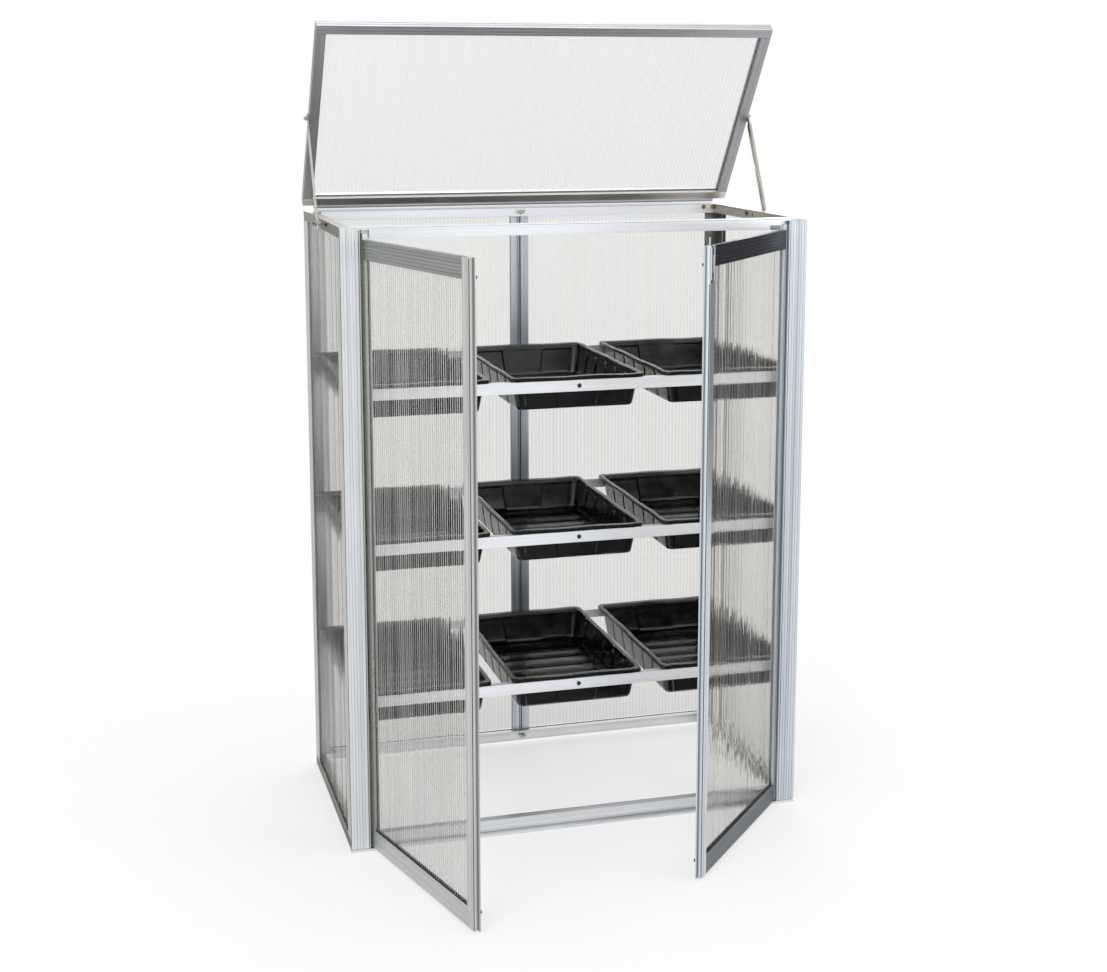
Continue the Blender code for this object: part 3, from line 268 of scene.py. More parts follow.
def makeCards():
    for name, place, width, height, tone in studio["cards"]:
        card = newObject(name, boardMesh(name, width / 2, height / 2), place)
        card.rotation_euler = aimed(place, (0, 0, place[2]), "Z")
        card.visible_camera = False
        card.visible_diffuse = False
        card.visible_transmission = False
        card.visible_shadow = False
        g = newMaterial(name)
        give(card, g.finish(g.add("Emission", {"Color": tone, "Strength": 1.0}).outputs[0]))


makeFloor()
makeRoom()
makeLamps()
makeCards()
scene.view_settings.view_transform = "Standard"
scene.cycles.max_bounces = studio["bounces"]
scene.cycles.transmission_bounces = studio["bounces"]
scene.cycles.transparent_max_bounces = studio["bounces"]
print("studio ready")


# aluminium, brass and zinc

leftOpen = math.radians(74.3)
rightOpen = math.radians(47.8)
lidOpen = math.radians(54.3)
stayLean = math.radians(28.0)
runs = {
    # which way each drawn profile runs
    "up": (0, 0, 1),
    "across": (1, 0, 0),
    "deep": (0, 1, 0),
    "leftDoor": (math.cos(leftOpen), -math.sin(leftOpen), 0),
    "rightDoor": (-math.cos(rightOpen), -math.sin(rightOpen), 0),
    "lid": (0, -math.cos(lidOpen), math.sin(lidOpen)),
    "stay": (0, math.sin(stayLean), math.cos(stayLean)),
}

metal = {
    # tone, tone of the faces to the left and right, roughness, how much the bands across the profile
    # darken it, how much of the tone is left in the grooves. The aluminium looks are one aluminium, toned
    # for the light and the reflections that fall on their pieces (postShade and doorNavy darkest): painted
    # light and shade; the side tone is painted light and shade by facing, and the grooves' loss is painted
    # shade
    "postSilver": ((233, 237, 241), (176, 176, 170), 0.34, 0.14, 0.68),
    "postShade": ((138, 136, 134), (120, 118, 115), 0.36, 0.20, 0.30),
    "postBlue": ((212, 219, 228), (190, 194, 198), 0.34, 0.24, 0.36),
    "rearSilver": ((212, 219, 227), (200, 205, 212), 0.36, 0.20, 0.25),
    "railWhite": ((238, 241, 245), (240, 240, 240), 0.40, 0.05, 0.50),
    "railBeige": ((186, 180, 170), (158, 152, 142), 0.38, 0.08, 0.30),
    "railBrown": ((206, 204, 198), (84, 80, 76), 0.38, 0.08, 0.30),
    "sillSilver": ((232, 234, 237), (220, 222, 224), 0.34, 0.12, 0.50),
    "stripBeige": ((214, 214, 208), (200, 200, 194), 0.34, 0.12, 0.25),
    "stileBeige": ((206, 208, 206), (206, 208, 206), 0.30, 0.22, 0.35),
    "stileBlue": ((226, 232, 238), (200, 206, 212), 0.32, 0.20, 0.20),
    "doorGrey": ((148, 151, 148), (148, 151, 148), 0.34, 0.18, 0.10),
    "doorPale": ((200, 202, 199), (200, 202, 199), 0.34, 0.12, 0.25),
    "doorNavy": ((50, 54, 63), (50, 54, 63), 0.32, 0.30, 0.20),
    "doorSlate": ((118, 122, 130), (118, 122, 130), 0.36, 0.12, 0.20),
    "lidGrey": ((170, 171, 174), (150, 151, 154), 0.42, 0.10, 0.35),
    "lidSilver": ((222, 221, 220), (170, 170, 172), 0.40, 0.16, 0.30),
    "brass": ((168, 146, 100), (150, 130, 90), 0.30, 0.06, 0.40),
    "boltBright": ((238, 240, 242), (150, 152, 156), 0.20, 0.10, 0.15),
    "zinc": ((190, 186, 178), (190, 186, 178), 0.30, 0.06, 0.40),
}
metalGrain = {
    # length, width and depth of the marks in metres
    "drawn": (0.6, 0.0011, 0.0011),
    "bands": (1.6, 0.007, 0.007),
    "cloud": (0.22, 0.05, 0.05),
    "spots": (0.004, 0.004, 0.004),
    "grooveReach": 0.004,
    "lineStrength": 0.35,
    "lineHeight": 0.0004,
    # lightness of the streaks and the clouds, and where the bands, grooves and side faces fade in
    "streakLight": (0.95, 1.04),
    "cloudLight": (1, 0.93),
    "bandFade": (0.42, 0.62),
    "grooveFade": (0.40, 0.93),
    "sideFade": (0.6, 0.85),
    # how much the clouds and spots change the roughness
    "cloudRough": (-0.05, 0.06),
    "spotRough": (-0.02, 0.03),
}
madeMetals = {}


def makeMetal(look, run):
    tone, sideTone, roughness, bandDark, grooveLight = metal[look]
    along = runs[run]
    g = newMaterial(look + "_" + run)
    facing = g.part(g.add("TexCoord").outputs["Normal"], "X")
    sideways = g.ramp(g.work("ABSOLUTE", facing), 0, 1, *metalGrain["sideFade"])
    drawn = g.noise(g.stretched(along, metalGrain["drawn"]), detail=3, rough=0.6)
    bands = g.noise(g.stretched(along, metalGrain["bands"]), detail=1)
    cloud = g.noise(g.stretched(along, metalGrain["cloud"]), detail=3)
    spots = g.noise(g.stretched(along, metalGrain["spots"]))
    # grooves and creases are darkened by an occlusion mask: painted shade
    openness = g.openness(metalGrain["grooveReach"])
    banded = g.ramp(bands, 1, 1 - bandDark, *metalGrain["bandFade"])
    lightness = g.times(g.ramp(drawn, *metalGrain["streakLight"]), banded)
    lightness = g.times(lightness, g.ramp(cloud, *metalGrain["cloudLight"]))
    lightness = g.times(lightness, g.ramp(openness, grooveLight, 1, *metalGrain["grooveFade"]))
    # faces turned to the left and right take the side tone: painted light and shade by facing
    base = g.scaled(g.blend(sideways, colour(*tone), colour(*sideTone)), lightness)
    smoother, rougher = metalGrain["cloudRough"]
    rough = g.ramp(cloud, roughness + smoother, roughness + rougher)
    rough = g.plus(rough, g.ramp(spots, *metalGrain["spotRough"]))
    lines = g.plus(drawn, g.times(bands, 1.5))
    shader = g.add("BsdfPrincipled", {
        "Base Color": base, "Metallic": 1.0, "Roughness": rough,
        "Normal": g.bump(lines, metalGrain["lineStrength"], metalGrain["lineHeight"])})
    return g.finish(shader.outputs[0])


def metalFor(look, run):
    key = (look, run)
    if key not in madeMetals:
        madeMetals[key] = makeMetal(look, run)
    return madeMetals[key]


# black tray plastic and black rubber

plastic = {
    "tone": (0.0025, 0.0025, 0.0027, 1),
    "worn": (0.0065, 0.0060, 0.0056, 1),
    # the paler tone of the long walls' outsides, a painted sheen
    "outside": (0.026, 0.023, 0.021, 1),
    "rough": 0.16,
    "index": 1.5,
    # how glossy each part of a tray is, set by region so that the walls and the rib tops shine and the
    # floor between the ribs stays dull: painted highlights
    "wallGloss": 0.85,
    "farGloss": 0.16,
    "ribGloss": 0.60,
    "floorGloss": 0.06,
    "outsideGloss": 0.35,
    # where those parts change into each other, in metres from the tray's middle and from its rim
    "longWalls": (0.105, 0.125),
    "shortWalls": (0.17, 0.20),
    "wallFoot": (-0.058, -0.052),
    "ribTops": (-0.0645, -0.0618),
    "creaseReach": 0.006,
    # length, width and depth of the marks in metres
    "grainSize": (0.0012, 0.0012, 0.0012),
    "dustSize": (0.06, 0.03, 0.03),
    "sheenPatchSize": (0.05, 0.02, 0.02),
    "grain": 0.05,
    "grainHeight": 0.0002,
}
rubber = {
    "tone": (0.010, 0.010, 0.011, 1),
    "worn": (0.022, 0.022, 0.023, 1),
    "smooth": 0.55,
    "dull": 0.75,
    "grainSize": (0.0009, 0.0009, 0.0009),
    "grain": 0.3,
    "grainHeight": 0.0002,
}


def makePlastic():
    g = newMaterial("blackTrayPlastic")
    grain = g.noise(g.stretched(runs["across"], plastic["grainSize"]))
    dust = g.noise(g.stretched(runs["deep"], plastic["dustSize"]), detail=4, rough=0.6)
    tone = g.blend(g.ramp(dust, 0, 0.5, 0.35, 0.75), plastic["tone"], plastic["worn"])
    # the outsides of the long walls are painted paler, in uneven patches: a painted sheen of the light
    # that falls on them
    coords = g.add("TexCoord").outputs
    reach = g.vectors("MULTIPLY", coords["Object"], coords["Normal"])
    outside = g.ramp(g.part(reach, "X"), 0, 1, *plastic["longWalls"])
    sheenPatches = g.ramp(g.noise(g.stretched(runs["deep"], plastic["sheenPatchSize"]), detail=4), 0.55, 1.15)
    tone = g.blend(g.times(outside, sheenPatches), tone, plastic["outside"])
    # the specular level is painted by region: the floor between its ribs is dull and the rib tops and the
    # walls shine, painted highlights; the creases are darkened by an occlusion mask, a painted shade
    height = g.part(coords["Object"], "Z")
    upward = g.ramp(g.part(coords["Normal"], "Z"), 0, 1, 0.70, 0.92)
    floorPart = g.times(upward, g.ramp(height, 1, 0, *plastic["wallFoot"]))
    floorGloss = g.ramp(height, plastic["floorGloss"], plastic["ribGloss"], *plastic["ribTops"])
    longway = g.part(reach, "Y")
    wallGloss = g.ramp(longway, plastic["wallGloss"], plastic["farGloss"], *plastic["shortWalls"])
    gloss = g.plus(g.times(g.work("SUBTRACT", 1, floorPart), wallGloss), g.times(floorPart, floorGloss))
    gloss = g.times(gloss, g.ramp(outside, 1, plastic["outsideGloss"], 0, 1))
    gloss = g.times(gloss, g.ramp(g.openness(plastic["creaseReach"]), 0.1, 1, 0.45, 0.85))
    rough = g.ramp(dust, plastic["rough"] - 0.06, plastic["rough"] + 0.10)
    rough = g.plus(rough, g.ramp(grain, -0.02, 0.03))
    shader = g.add("BsdfPrincipled", {
        "Base Color": tone, "Roughness": rough, "IOR": plastic["index"], "Specular IOR Level": gloss,
        "Normal": g.bump(grain, plastic["grain"], plastic["grainHeight"])})
    return g.finish(shader.outputs[0])


def makeRubber():
    g = newMaterial("blackRubber")
    grain = g.noise(g.stretched(runs["across"], rubber["grainSize"]), detail=3)
    shader = g.add("BsdfPrincipled", {
        "Base Color": g.blend(g.ramp(grain, 0, 1), rubber["tone"], rubber["worn"]),
        "Roughness": g.ramp(grain, rubber["smooth"], rubber["dull"]),
        "Normal": g.bump(grain, rubber["grain"], rubber["grainHeight"])})
    return g.finish(shader.outputs[0])


blackPlastic = makePlastic()
blackRubber = makeRubber()


# the aluminium frame keeps its CAD shapes and gets its finishes and soft edges

nodeLooks = {
    # the first name that a piece's own name starts with gives its look, with its painted light and shade,
    # and which way it runs
    "post_front_left": ("postSilver", "up"),
    "post_front_right": ("postBlue", "up"),
    "post_rear_left": ("postSilver", "up"),
    "post_rear_right": ("postShade", "up"),
    "post_rear_centre": ("rearSilver", "up"),
    "hinge_channel_left": ("stripBeige", "up"),
    "hinge_channel_right": ("stileBlue", "up"),
    "rail_top_front": ("railWhite", "across"),
    "rail_top_rear": ("railWhite", "across"),
    "rail_bottom_rear": ("sillSilver", "across"),
    "sill_front": ("sillSilver", "across"),
    "rail_top_left": ("railBrown", "deep"),
    "rail_top_right": ("railBeige", "deep"),
    "rail_bottom_": ("railBrown", "deep"),
    "shelf_rail_": ("railWhite", "across"),
    "left_door_top_rail": ("doorGrey", "leftDoor"),
    "left_door_bottom_rail": ("doorPale", "leftDoor"),
    "left_door_": ("stileBeige", "up"),
    "right_door_top_rail": ("doorNavy", "rightDoor"),
    "right_door_bottom_rail": ("doorSlate", "rightDoor"),
    "right_door_": ("stileBlue", "up"),
    "lid_front_rail": ("lidGrey", "across"),
    "lid_hinge_rail": ("lidSilver", "across"),
    "lid_rail_": ("lidGrey", "lid"),
    "stay_left": ("zinc", "stay"),
    "stay_right": ("zinc", "stay"),
    "stay_": ("zinc", "across"),
    "middle_bolt_": ("zinc", "across"),
    "door_bolt": ("boltBright", "up"),
}

softEdges = {"width": 0.00035, "steps": 2, "weld": 0.00002, "angle": 32}


def bevelled(piece, width, steps, angle=30):
    bevel = piece.modifiers.new("edges", "BEVEL")
    bevel.width = width
    bevel.segments = steps
    bevel.limit_method = "ANGLE"
    bevel.angle_limit = math.radians(angle)
    return bevel


def soften(piece):
    weld = piece.modifiers.new("weld", "WELD")
    weld.merge_threshold = softEdges["weld"]
    bevel = bevelled(piece, softEdges["width"], softEdges["steps"], softEdges["angle"])
    bevel.use_clamp_overlap = True
    bevel.miter_outer = "MITER_ARC"
    piece.modifiers.new("faces", "WEIGHTED_NORMAL").keep_sharp = True


def dressFrame():
    for name, piece in nodes.items():
        if "sheet" in name or name.startswith("tray_"):
            continue
        if name.endswith("_seal"):
            give(piece, blackRubber)
        else:
            look, run = next(value for key, value in nodeLooks.items() if name.startswith(key))
            give(piece, metalFor(look, run))
        soften(piece)


dressFrame()
print("frame dressed")


# twin-wall sheets

sheetLooks = {
    # two tones that change slowly across a sheet, how much of the tone is left at its foot (darker towards
    # the foot: a painted shade), how far its skins throw things sideways, how strongly they bend light,
    # how clear its skins and its rib lines are, and how wide a rib line is
    "lid_sheet": {
        "warm": (0.930, 0.916, 0.914, 1), "cool": (0.918, 0.916, 0.922, 1), "foot": 1.0, "slope": 0.0,
        "index": 1.001, "clear": 0.985, "ribClear": 0.82, "rib": 0.0010},
    "sheet_rear_": {
        "warm": (0.905, 0.896, 0.880, 1), "cool": (0.888, 0.892, 0.896, 1), "foot": 0.97, "slope": 0.0,
        "index": 1.001, "clear": 0.985, "ribClear": 0.80, "rib": 0.0011},
    "left_door_sheet": {
        "warm": (0.885, 0.874, 0.856, 1), "cool": (0.862, 0.866, 0.868, 1), "foot": 0.93, "slope": 0.55,
        "index": 1.03, "clear": 0.997, "ribClear": 0.56, "rib": 0.0015},
    "right_door_sheet": {
        "warm": (0.898, 0.888, 0.868, 1), "cool": (0.875, 0.875, 0.875, 1), "foot": 0.92, "slope": 0.50,
        "index": 1.025, "clear": 0.998, "ribClear": 0.68, "rib": 0.0013},
    "sheet_left": {
        "warm": (0.900, 0.884, 0.868, 1), "cool": (0.800, 0.804, 0.808, 1), "foot": 0.97, "slope": 0.40,
        "index": 1.006, "clear": 0.999, "ribClear": 0.82, "rib": 0.0014},
    "sheet_right": {
        "warm": (0.915, 0.904, 0.890, 1), "cool": (0.865, 0.868, 0.871, 1), "foot": 0.97, "slope": 0.12,
        "index": 1.003, "clear": 0.998, "ribClear": 0.90, "rib": 0.0012},
}
# the walls between the skins: in these sheets they keep the sheet's tone, so that its lines show,
# and in the others they are nearly clear
ownWebs = ("lid_sheet", "sheet_rear_")
webLook = {
    "warm": (0.999, 0.996, 0.990, 1), "cool": (0.990, 0.994, 0.999, 1), "foot": 0.995, "index": 1.001,
    "clear": 0.999}
sheetPlastic = {
    # how much lighter the rib lines are than the skins: a painted highlight of the light the rib walls
    # catch
    "ribTone": 1.07,
    "rough": 0.03,
    "shadow": (0.975, 0.975, 0.975, 1),
    # width, thickness and length of the waves in metres
    "ripple": (0.0055, 0.00060, 9.0),
    "swell": (0.0170, 0.0015, 12.0),
    "haze": (0.012, 0.02, 6.0),
    "footHeight": -0.62,
    "headHeight": 0.3,
}
twinWall = {
    "pitch": 0.0090,
    "skin": 0.00060,
    "jitter": 0.00035,
    "ribSpread": (0.6, 1.5),
    "sections": 5,
    "wobble": 0.00003,
    "sameCorner": 0.0005,  # points of the plain CAD sheet closer than this are one corner
}
sheets = ("left_door_sheet", "right_door_sheet", "lid_sheet", "sheet_left", "sheet_right",
          "sheet_rear_left", "sheet_rear_right")


def makeSheetPlastic(name, facts, clear, index, slope, lift=1):
    # the skins lean a little this way and that across the ribs, so things behind them blur sideways
    g = newMaterial(name)
    coords = g.add("TexCoord").outputs
    place = coords["Object"]
    ripple = g.work("SUBTRACT", g.noise(g.divided(place, sheetPlastic["ripple"]), detail=1), 0.5)
    swell = g.work("SUBTRACT", g.noise(g.divided(place, sheetPlastic["swell"]), detail=0), 0.5)
    # only the skins lean, the walls between them stay true
    skinOnly = g.ramp(g.work("ABSOLUTE", g.part(coords["Normal"], "Y")), 0, slope, 0.5, 0.9)
    lean = g.times(g.plus(ripple, swell), skinOnly)
    across = g.add("VectorTransform", {"Vector": (1, 0, 0)}, vector_type="VECTOR", convert_from="OBJECT",
                   convert_to="WORLD").outputs[0]
    facing = g.add("NewGeometry").outputs["Normal"]
    normal = g.vectors("NORMALIZE", g.vectors("ADD", facing, g.scaled(across, lean)))
    haze = g.noise(g.divided(place, sheetPlastic["haze"]))
    # the sheet is made darker towards its foot: a painted shade
    lightness = g.ramp(g.part(place, "Z"), facts["foot"] * lift, lift,
                       sheetPlastic["footHeight"], sheetPlastic["headHeight"])
    tone = g.scaled(g.blend(g.ramp(haze, 0, 1), facts["warm"], facts["cool"]), lightness)
    glass = g.add("BsdfPrincipled", {
        "Base Color": tone, "Roughness": sheetPlastic["rough"], "IOR": index,
        "Transmission Weight": clear, "Normal": normal})
    unseen = g.add("BsdfTransparent", {"Color": sheetPlastic["shadow"]})
    shadowRay = g.add("LightPath").outputs["Is Shadow Ray"]
    return g.finish(g.mixed(shadowRay, glass, unseen))


def boxAxes(node):
    # a thin box's middle and its three edges, shortest first
    corners = []
    for vertex in node.data.vertices:
        point = node.matrix_world @ vertex.co
        if all((point - other).length > twinWall["sameCorner"] for other in corners):
            corners.append(point)
    first = corners[0]
    away = sorted((corner - first for corner in corners[1:]), key=lambda edge: edge.length)
    # the third in length is the diagonal of the two short edges
    thick, middle, long = away[0], away[1], away[3]
    return first + (thick + middle + long) / 2, thick, middle, long


def twinWallMesh(name, width, thick, length, rib, materials):
    # every rib line has two columns of points, one on each side of it
    count = max(2, round(width / twinWall["pitch"]))
    step = width / count
    edges = []
    for number in range(count + 1):
        middle = -width / 2 + number * step
        half = rib / 2 * dice.uniform(*twinWall["ribSpread"])
        if 0 < number < count:
            middle += dice.uniform(-1, 1) * twinWall["jitter"]
        edges.append((max(-width / 2, middle - half), min(width / 2, middle + half)))
    columns = [value for pair in edges for value in pair]
    rows = [-thick / 2, -thick / 2 + twinWall["skin"], thick / 2 - twinWall["skin"], thick / 2]
    sections = twinWall["sections"]
    wide = len(columns)
    points = []
    for section in range(sections + 1):
        level = -length / 2 + length * section / sections
        shift = [dice.uniform(-1, 1) * twinWall["wobble"] for pair in edges]
        shift[0] = 0
        shift[-1] = 0
        for row in rows:
            for number, x in enumerate(columns):
                points.append((x + shift[number // 2], row, level))

    def at(level, row, column):
        return (level * 4 + row) * wide + column

    faces = []
    # each face's material: 0 the skins, 1 where a rib meets a skin, 2 the walls between the skins
    kinds = []

    def wall(rowA, columnA, rowB, columnB, kind):
        for level in range(sections):
            kinds.append(kind)
            faces.append((at(level, rowA, columnA), at(level, rowB, columnB),
                          at(level + 1, rowB, columnB), at(level + 1, rowA, columnA)))

    for column in range(wide - 1):
        isRib = column % 2 == 0
        wall(0, column, 0, column + 1, int(isRib))
        wall(3, column + 1, 3, column, int(isRib))
        if not isRib:
            wall(1, column + 1, 1, column, 0)
            wall(2, column, 2, column + 1, 0)
            wall(1, column, 2, column, 2)
            wall(2, column + 1, 1, column + 1, 2)
    for row in range(3):
        wall(row + 1, 0, row, 0, 2)
        wall(row, wide - 1, row + 1, wide - 1, 2)
    # the two ends are closed except over the hollow channels
    for column in range(wide - 1):
        for row in range(3):
            if column % 2 and row == 1:
                continue
            kinds += [2, 2]
            faces.append((at(0, row, column), at(0, row + 1, column),
                          at(0, row + 1, column + 1), at(0, row, column + 1)))
            faces.append((at(sections, row, column), at(sections, row, column + 1),
                          at(sections, row + 1, column + 1), at(sections, row + 1, column)))
    mesh = bpy.data.meshes.new(name)
    mesh.from_pydata(points, [], faces)
    for material in materials:
        mesh.materials.append(material)
    mesh.polygons.foreach_set("material_index", kinds)
    mesh.update()
    return mesh


def sheetMaterials(key):
    # skins, rib lines, and the walls between the skins, in the order of the faces' kinds
    facts = sheetLooks[key]
    web = facts if key in ownWebs else webLook
    index = facts["index"]
    slope = facts["slope"]
    # the rib lines are made lighter than the skins: a painted highlight
    ribTone = sheetPlastic["ribTone"]
    return (makeSheetPlastic(key + "_skin", facts, facts["clear"], index, slope),
            makeSheetPlastic(key + "_rib", facts, facts["ribClear"], index, slope, ribTone),
            makeSheetPlastic(key + "_web", web, web["clear"], web["index"], 0))


def makeSheets():
    looks = {key: sheetMaterials(key) for key in sheetLooks}
    for name in sheets:
        body = "frame" if name.startswith("sheet_") else name.removesuffix("_sheet")
        key = next(key for key in sheetLooks if name.startswith(key))
        middle, thick, medium, long = boxAxes(nodes[name])
        ribs, across = (medium, long) if name == "lid_sheet" else (long, medium)
        mesh = twinWallMesh(name + "_twin_wall", across.length, thick.length, ribs.length,
                            sheetLooks[key]["rib"], looks[key])
        x = across.normalized()
        z = ribs.normalized()
        y = z.cross(x)
        piece = newObject(name + "_twin_wall", mesh)
        piece.matrix_world = Matrix.Translation(middle) @ Matrix((x, y, z)).transposed().to_4x4()
        bpy.context.view_layer.update()
        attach(piece, body)
        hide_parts(name)


makeSheets()
print("sheets made")


# seed trays, one mesh used nine times

tray = {
    "halfWide": 0.151,
    "halfLong": 0.25425,
    "rimTop": 0.008,
    "rimFoot": 0.004,
    "rimEdge": 0.002,
    "skirt": 0.0004,
    "basinHalfWide": 0.1400,
    "basinHalfLong": 0.2355,
    "lean": 0.009,
    "depth": 0.065,
    "wall": 0.0018,
    "cornerSteps": 5,
    "edgeWidth": 0.0004,
    "edgeAngle": 35,
    "floorRibs": 7,
    "firstFloorRib": -0.186,
    "floorRibSpacing": 0.062,
    "floorRibHeight": 0.0036,
    "floorRibHalf": 0.0100,
    "floorRibSlope": 0.012,
    "stripHeight": 0.0065,
    "stripEnd": -0.070,
    "stripFrom": 10,  # the raised strip lies beyond this column of the floor's grid
    "panelDepth": 0.0042,
    "sideGrooves": [-0.150, -0.075, 0.0, 0.075, 0.150],
    "grooveDepth": 0.0028,
    "grooveHalf": 0.0035,
    "grooveMouth": 0.006,
    "wave": 0.0009,
    "scallop": 0.0020,  # only above rimFoot and further in than rimEdge
    # how quick the rim's waves are and where they start, on its near, right, far and left edges
    "rimWaves": [(41, 0), (29, 1), (37, 2), (31, 0)],
    # across a short wall: x at the rim, x at the floor, 1 in a panel, 1 on the raised strip
    "shortColumns": [
        (-0.1262, -0.1150, 0, 0), (-0.1235, -0.1122, 1, 0), (-0.0540, -0.0460, 1, 0),
        (-0.0512, -0.0432, 0, 0), (-0.0230, -0.0180, 0, 0), (0, 0, 0, 0), (0.0230, 0.0180, 0, 0),
        (0.0512, 0.0432, 0, 0), (0.0540, 0.0460, 1, 0), (0.0840, 0.0790, 1, 0), (0.0880, 0.0830, 1, 0),
        (0.0910, 0.0860, 1, 1), (0.0970, 0.0920, 1, 1), (0.1000, 0.0950, 1, 0), (0.1235, 0.1122, 1, 0),
        (0.1262, 0.1150, 0, 0),
    ],
}


def between(x, marks):
    # the value at x on the broken line through the marks, 0 outside them
    keys = sorted(marks)
    if keys[0] < x < keys[-1]:
        for before, after in zip(keys, keys[1:]):
            if before <= x <= after:
                part = (x - before) / (after - before)
                return marks[before] * (1 - part) + marks[after] * part
    return 0


def trayRings():
    # half width, half length, height, corner radius, panel share, how far down the wall
    topX, topY = tray["basinHalfWide"], tray["basinHalfLong"]
    lowX, lowY = topX - tray["lean"], topY - tray["lean"]
    rimX, rimY = tray["halfWide"], tray["halfLong"]
    rimZ, depth = tray["rimTop"], -tray["depth"]
    return [
        (rimX, rimY, tray["skirt"], 0.016, 0, 0),
        (rimX - 0.0002, rimY - 0.0002, rimZ - 0.0022, 0.016, 0, 0),
        (rimX - 0.0009, rimY - 0.0009, rimZ - 0.0006, 0.016, 0, 0),
        (rimX - 0.0024, rimY - 0.0024, rimZ, 0.015, 0, 0),
        (topX + 0.0034, topY + 0.0048, rimZ, 0.013, 0, 0),
        (topX + 0.0012, topY + 0.0018, rimZ - 0.0009, 0.012, 0, 0),
        (topX, topY, rimZ - 0.0034, 0.012, 0, 0.0),
        (topX - 0.0006, topY - 0.0006, -0.0045, 0.012, 0, 0.14),
        (topX - 0.0010, topY - 0.0010, -0.0075, 0.012, 1, 0.18),
        (topX - 0.0035, topY - 0.0035, -0.028, 0.012, 1, 0.5),
        (lowX + 0.0012, lowY + 0.0012, depth + 0.009, 0.012, 1, 0.88),
        (lowX - 0.0002, lowY - 0.0002, depth + 0.004, 0.011, 0.6, 0.95),
        (lowX - 0.0022, lowY - 0.0022, depth + 0.0012, 0.010, 0.3, 1),
        (lowX - 0.0060, lowY - 0.0060, depth, 0.008, 0, 1),
    ]


def trayMesh():
    shortTop, shortLow, panel, raised = zip(*tray["shortColumns"])
    half, slope = tray["floorRibHalf"], tray["floorRibSlope"]
    ribMarks = {}
    for number in range(tray["floorRibs"]):
        place = tray["firstFloorRib"] + number * tray["floorRibSpacing"]
        for offset, height in ((-half - slope, 0), (-half, 1), (half, 1), (half + slope, 0)):
            ribMarks[round(place + offset, 5)] = height
    half, mouth = tray["grooveHalf"], tray["grooveMouth"]
    grooveMarks = {}
    for place in tray["sideGrooves"]:
        for offset, deep in ((-mouth, 0), (-half, 1), (half, 1), (mouth, 0)):
            grooveMarks[round(place + offset, 5)] = deep
    columns = sorted(set(ribMarks) | set(grooveMarks))
    ribProfile = [between(x, ribMarks) for x in columns]
    grooveProfile = [between(x, grooveMarks) for x in columns]
    rings = trayRings()

    def ringPoints(ring):
        halfX, halfY, z, radius, share, down = ring
        onRim = tray["basinHalfWide"] <= halfX < tray["halfWide"] - tray["rimEdge"]
        scallop = tray["scallop"] if onRim and z > tray["rimFoot"] else 0
        cut = tray["grooveDepth"] * share + scallop
        out = tray["panelDepth"] * share
        short = [low + (high - low) * (1 - down) for low, high in zip(shortLow, shortTop)]
        reachX, reachY = halfX - radius, halfY - radius
        wave = tray["wave"] * (1 - down) if z > 0 else 0
        near, right, far, left = tray["rimWaves"]
        points = []

        def lifted(along, waves):
            return z + wave * math.sin(waves[0] * along + waves[1])

        def arc(cx, cy, start):
            for number in range(tray["cornerSteps"] + 1):
                angle = math.radians(start + 90 * number / tray["cornerSteps"])
                points.append((cx + radius * math.cos(angle), cy + radius * math.sin(angle), z))

        for x, pushed in zip(short, panel):
            points.append((x, -halfY - out * pushed, lifted(x, near)))
        arc(reachX, -reachY, -90)
        for y, pushed in zip(columns, grooveProfile):
            points.append((halfX - cut * pushed, y, lifted(y, right)))
        arc(reachX, reachY, 0)
        for x, pushed in zip(reversed(short), reversed(panel)):
            points.append((x, halfY + out * pushed, lifted(x, far)))
        arc(-reachX, reachY, 90)
        for y, pushed in zip(reversed(columns), reversed(grooveProfile)):
            points.append((-halfX + cut * pushed, y, lifted(y, left)))
        arc(-reachX, -reachY, 180)
        return points

    points = []
    faces = []
    for ring in rings:
        points += ringPoints(ring)
    size = len(points) // len(rings)
    for level in range(len(rings) - 1):
        for number in range(size):
            after = (number + 1) % size
            faces.append((level * size + number, level * size + after,
                          (level + 1) * size + after, (level + 1) * size + number))

    # floor: a grid that meets the last ring, with the four corners fanned
    last = (len(rings) - 1) * size
    halfX, halfY, z, radius = rings[-1][:4]
    xs = [-(halfX - radius), *shortLow, halfX - radius]
    ys = [-(halfY - radius), *columns, halfY - radius]
    ribs = [0, *ribProfile, 0]
    east, north = len(xs) - 1, len(ys) - 1
    base = len(points)
    for row, y in enumerate(ys):
        for column, x in enumerate(xs):
            lift = ribs[row] * tray["floorRibHeight"] if 1 < column < east - 1 else 0
            if y < tray["stripEnd"] and column > tray["stripFrom"]:
                lift = tray["stripHeight"] * raised[column - 1] if column < east and row else 0
            points.append((x, y, z + lift))

    def grid(row, column):
        return base + row * len(xs) + column

    for row in range(north):
        for column in range(east):
            faces.append((grid(row, column), grid(row, column + 1),
                          grid(row + 1, column + 1), grid(row + 1, column)))

    # the grid's edges joined to the last ring, going round from the near side
    corner = tray["cornerSteps"] + 1
    nearRow = [grid(0, column) for column in range(len(xs))]
    rightRow = [grid(row, east) for row in range(len(ys))]
    farRow = [grid(north, column) for column in reversed(range(len(xs)))]
    leftRow = [grid(row, 0) for row in reversed(range(len(ys)))]
    start = 0
    fans = []
    for inner in (nearRow, rightRow, farRow, leftRow):
        end = start + len(inner) - 2
        outer = range(start - 1, end + 1)
        for (a, b), (c, d) in zip(zip(outer, outer[1:]), zip(inner, inner[1:])):
            faces.append((last + a % size, last + b % size, d, c))
        fans.append((end, inner[-1]))
        start = end + corner
    for first, inner in fans:
        for number in range(corner - 1):
            faces.append((last + (first + number) % size, last + (first + number + 1) % size, inner))

    mesh = solidMesh("seed_tray", points, faces)
    middle = min(mesh.polygons, key=lambda face: face.center.xy.length)
    if middle.normal.z < 0:
        mesh.flip_normals()
    mesh.shade_smooth()
    return mesh


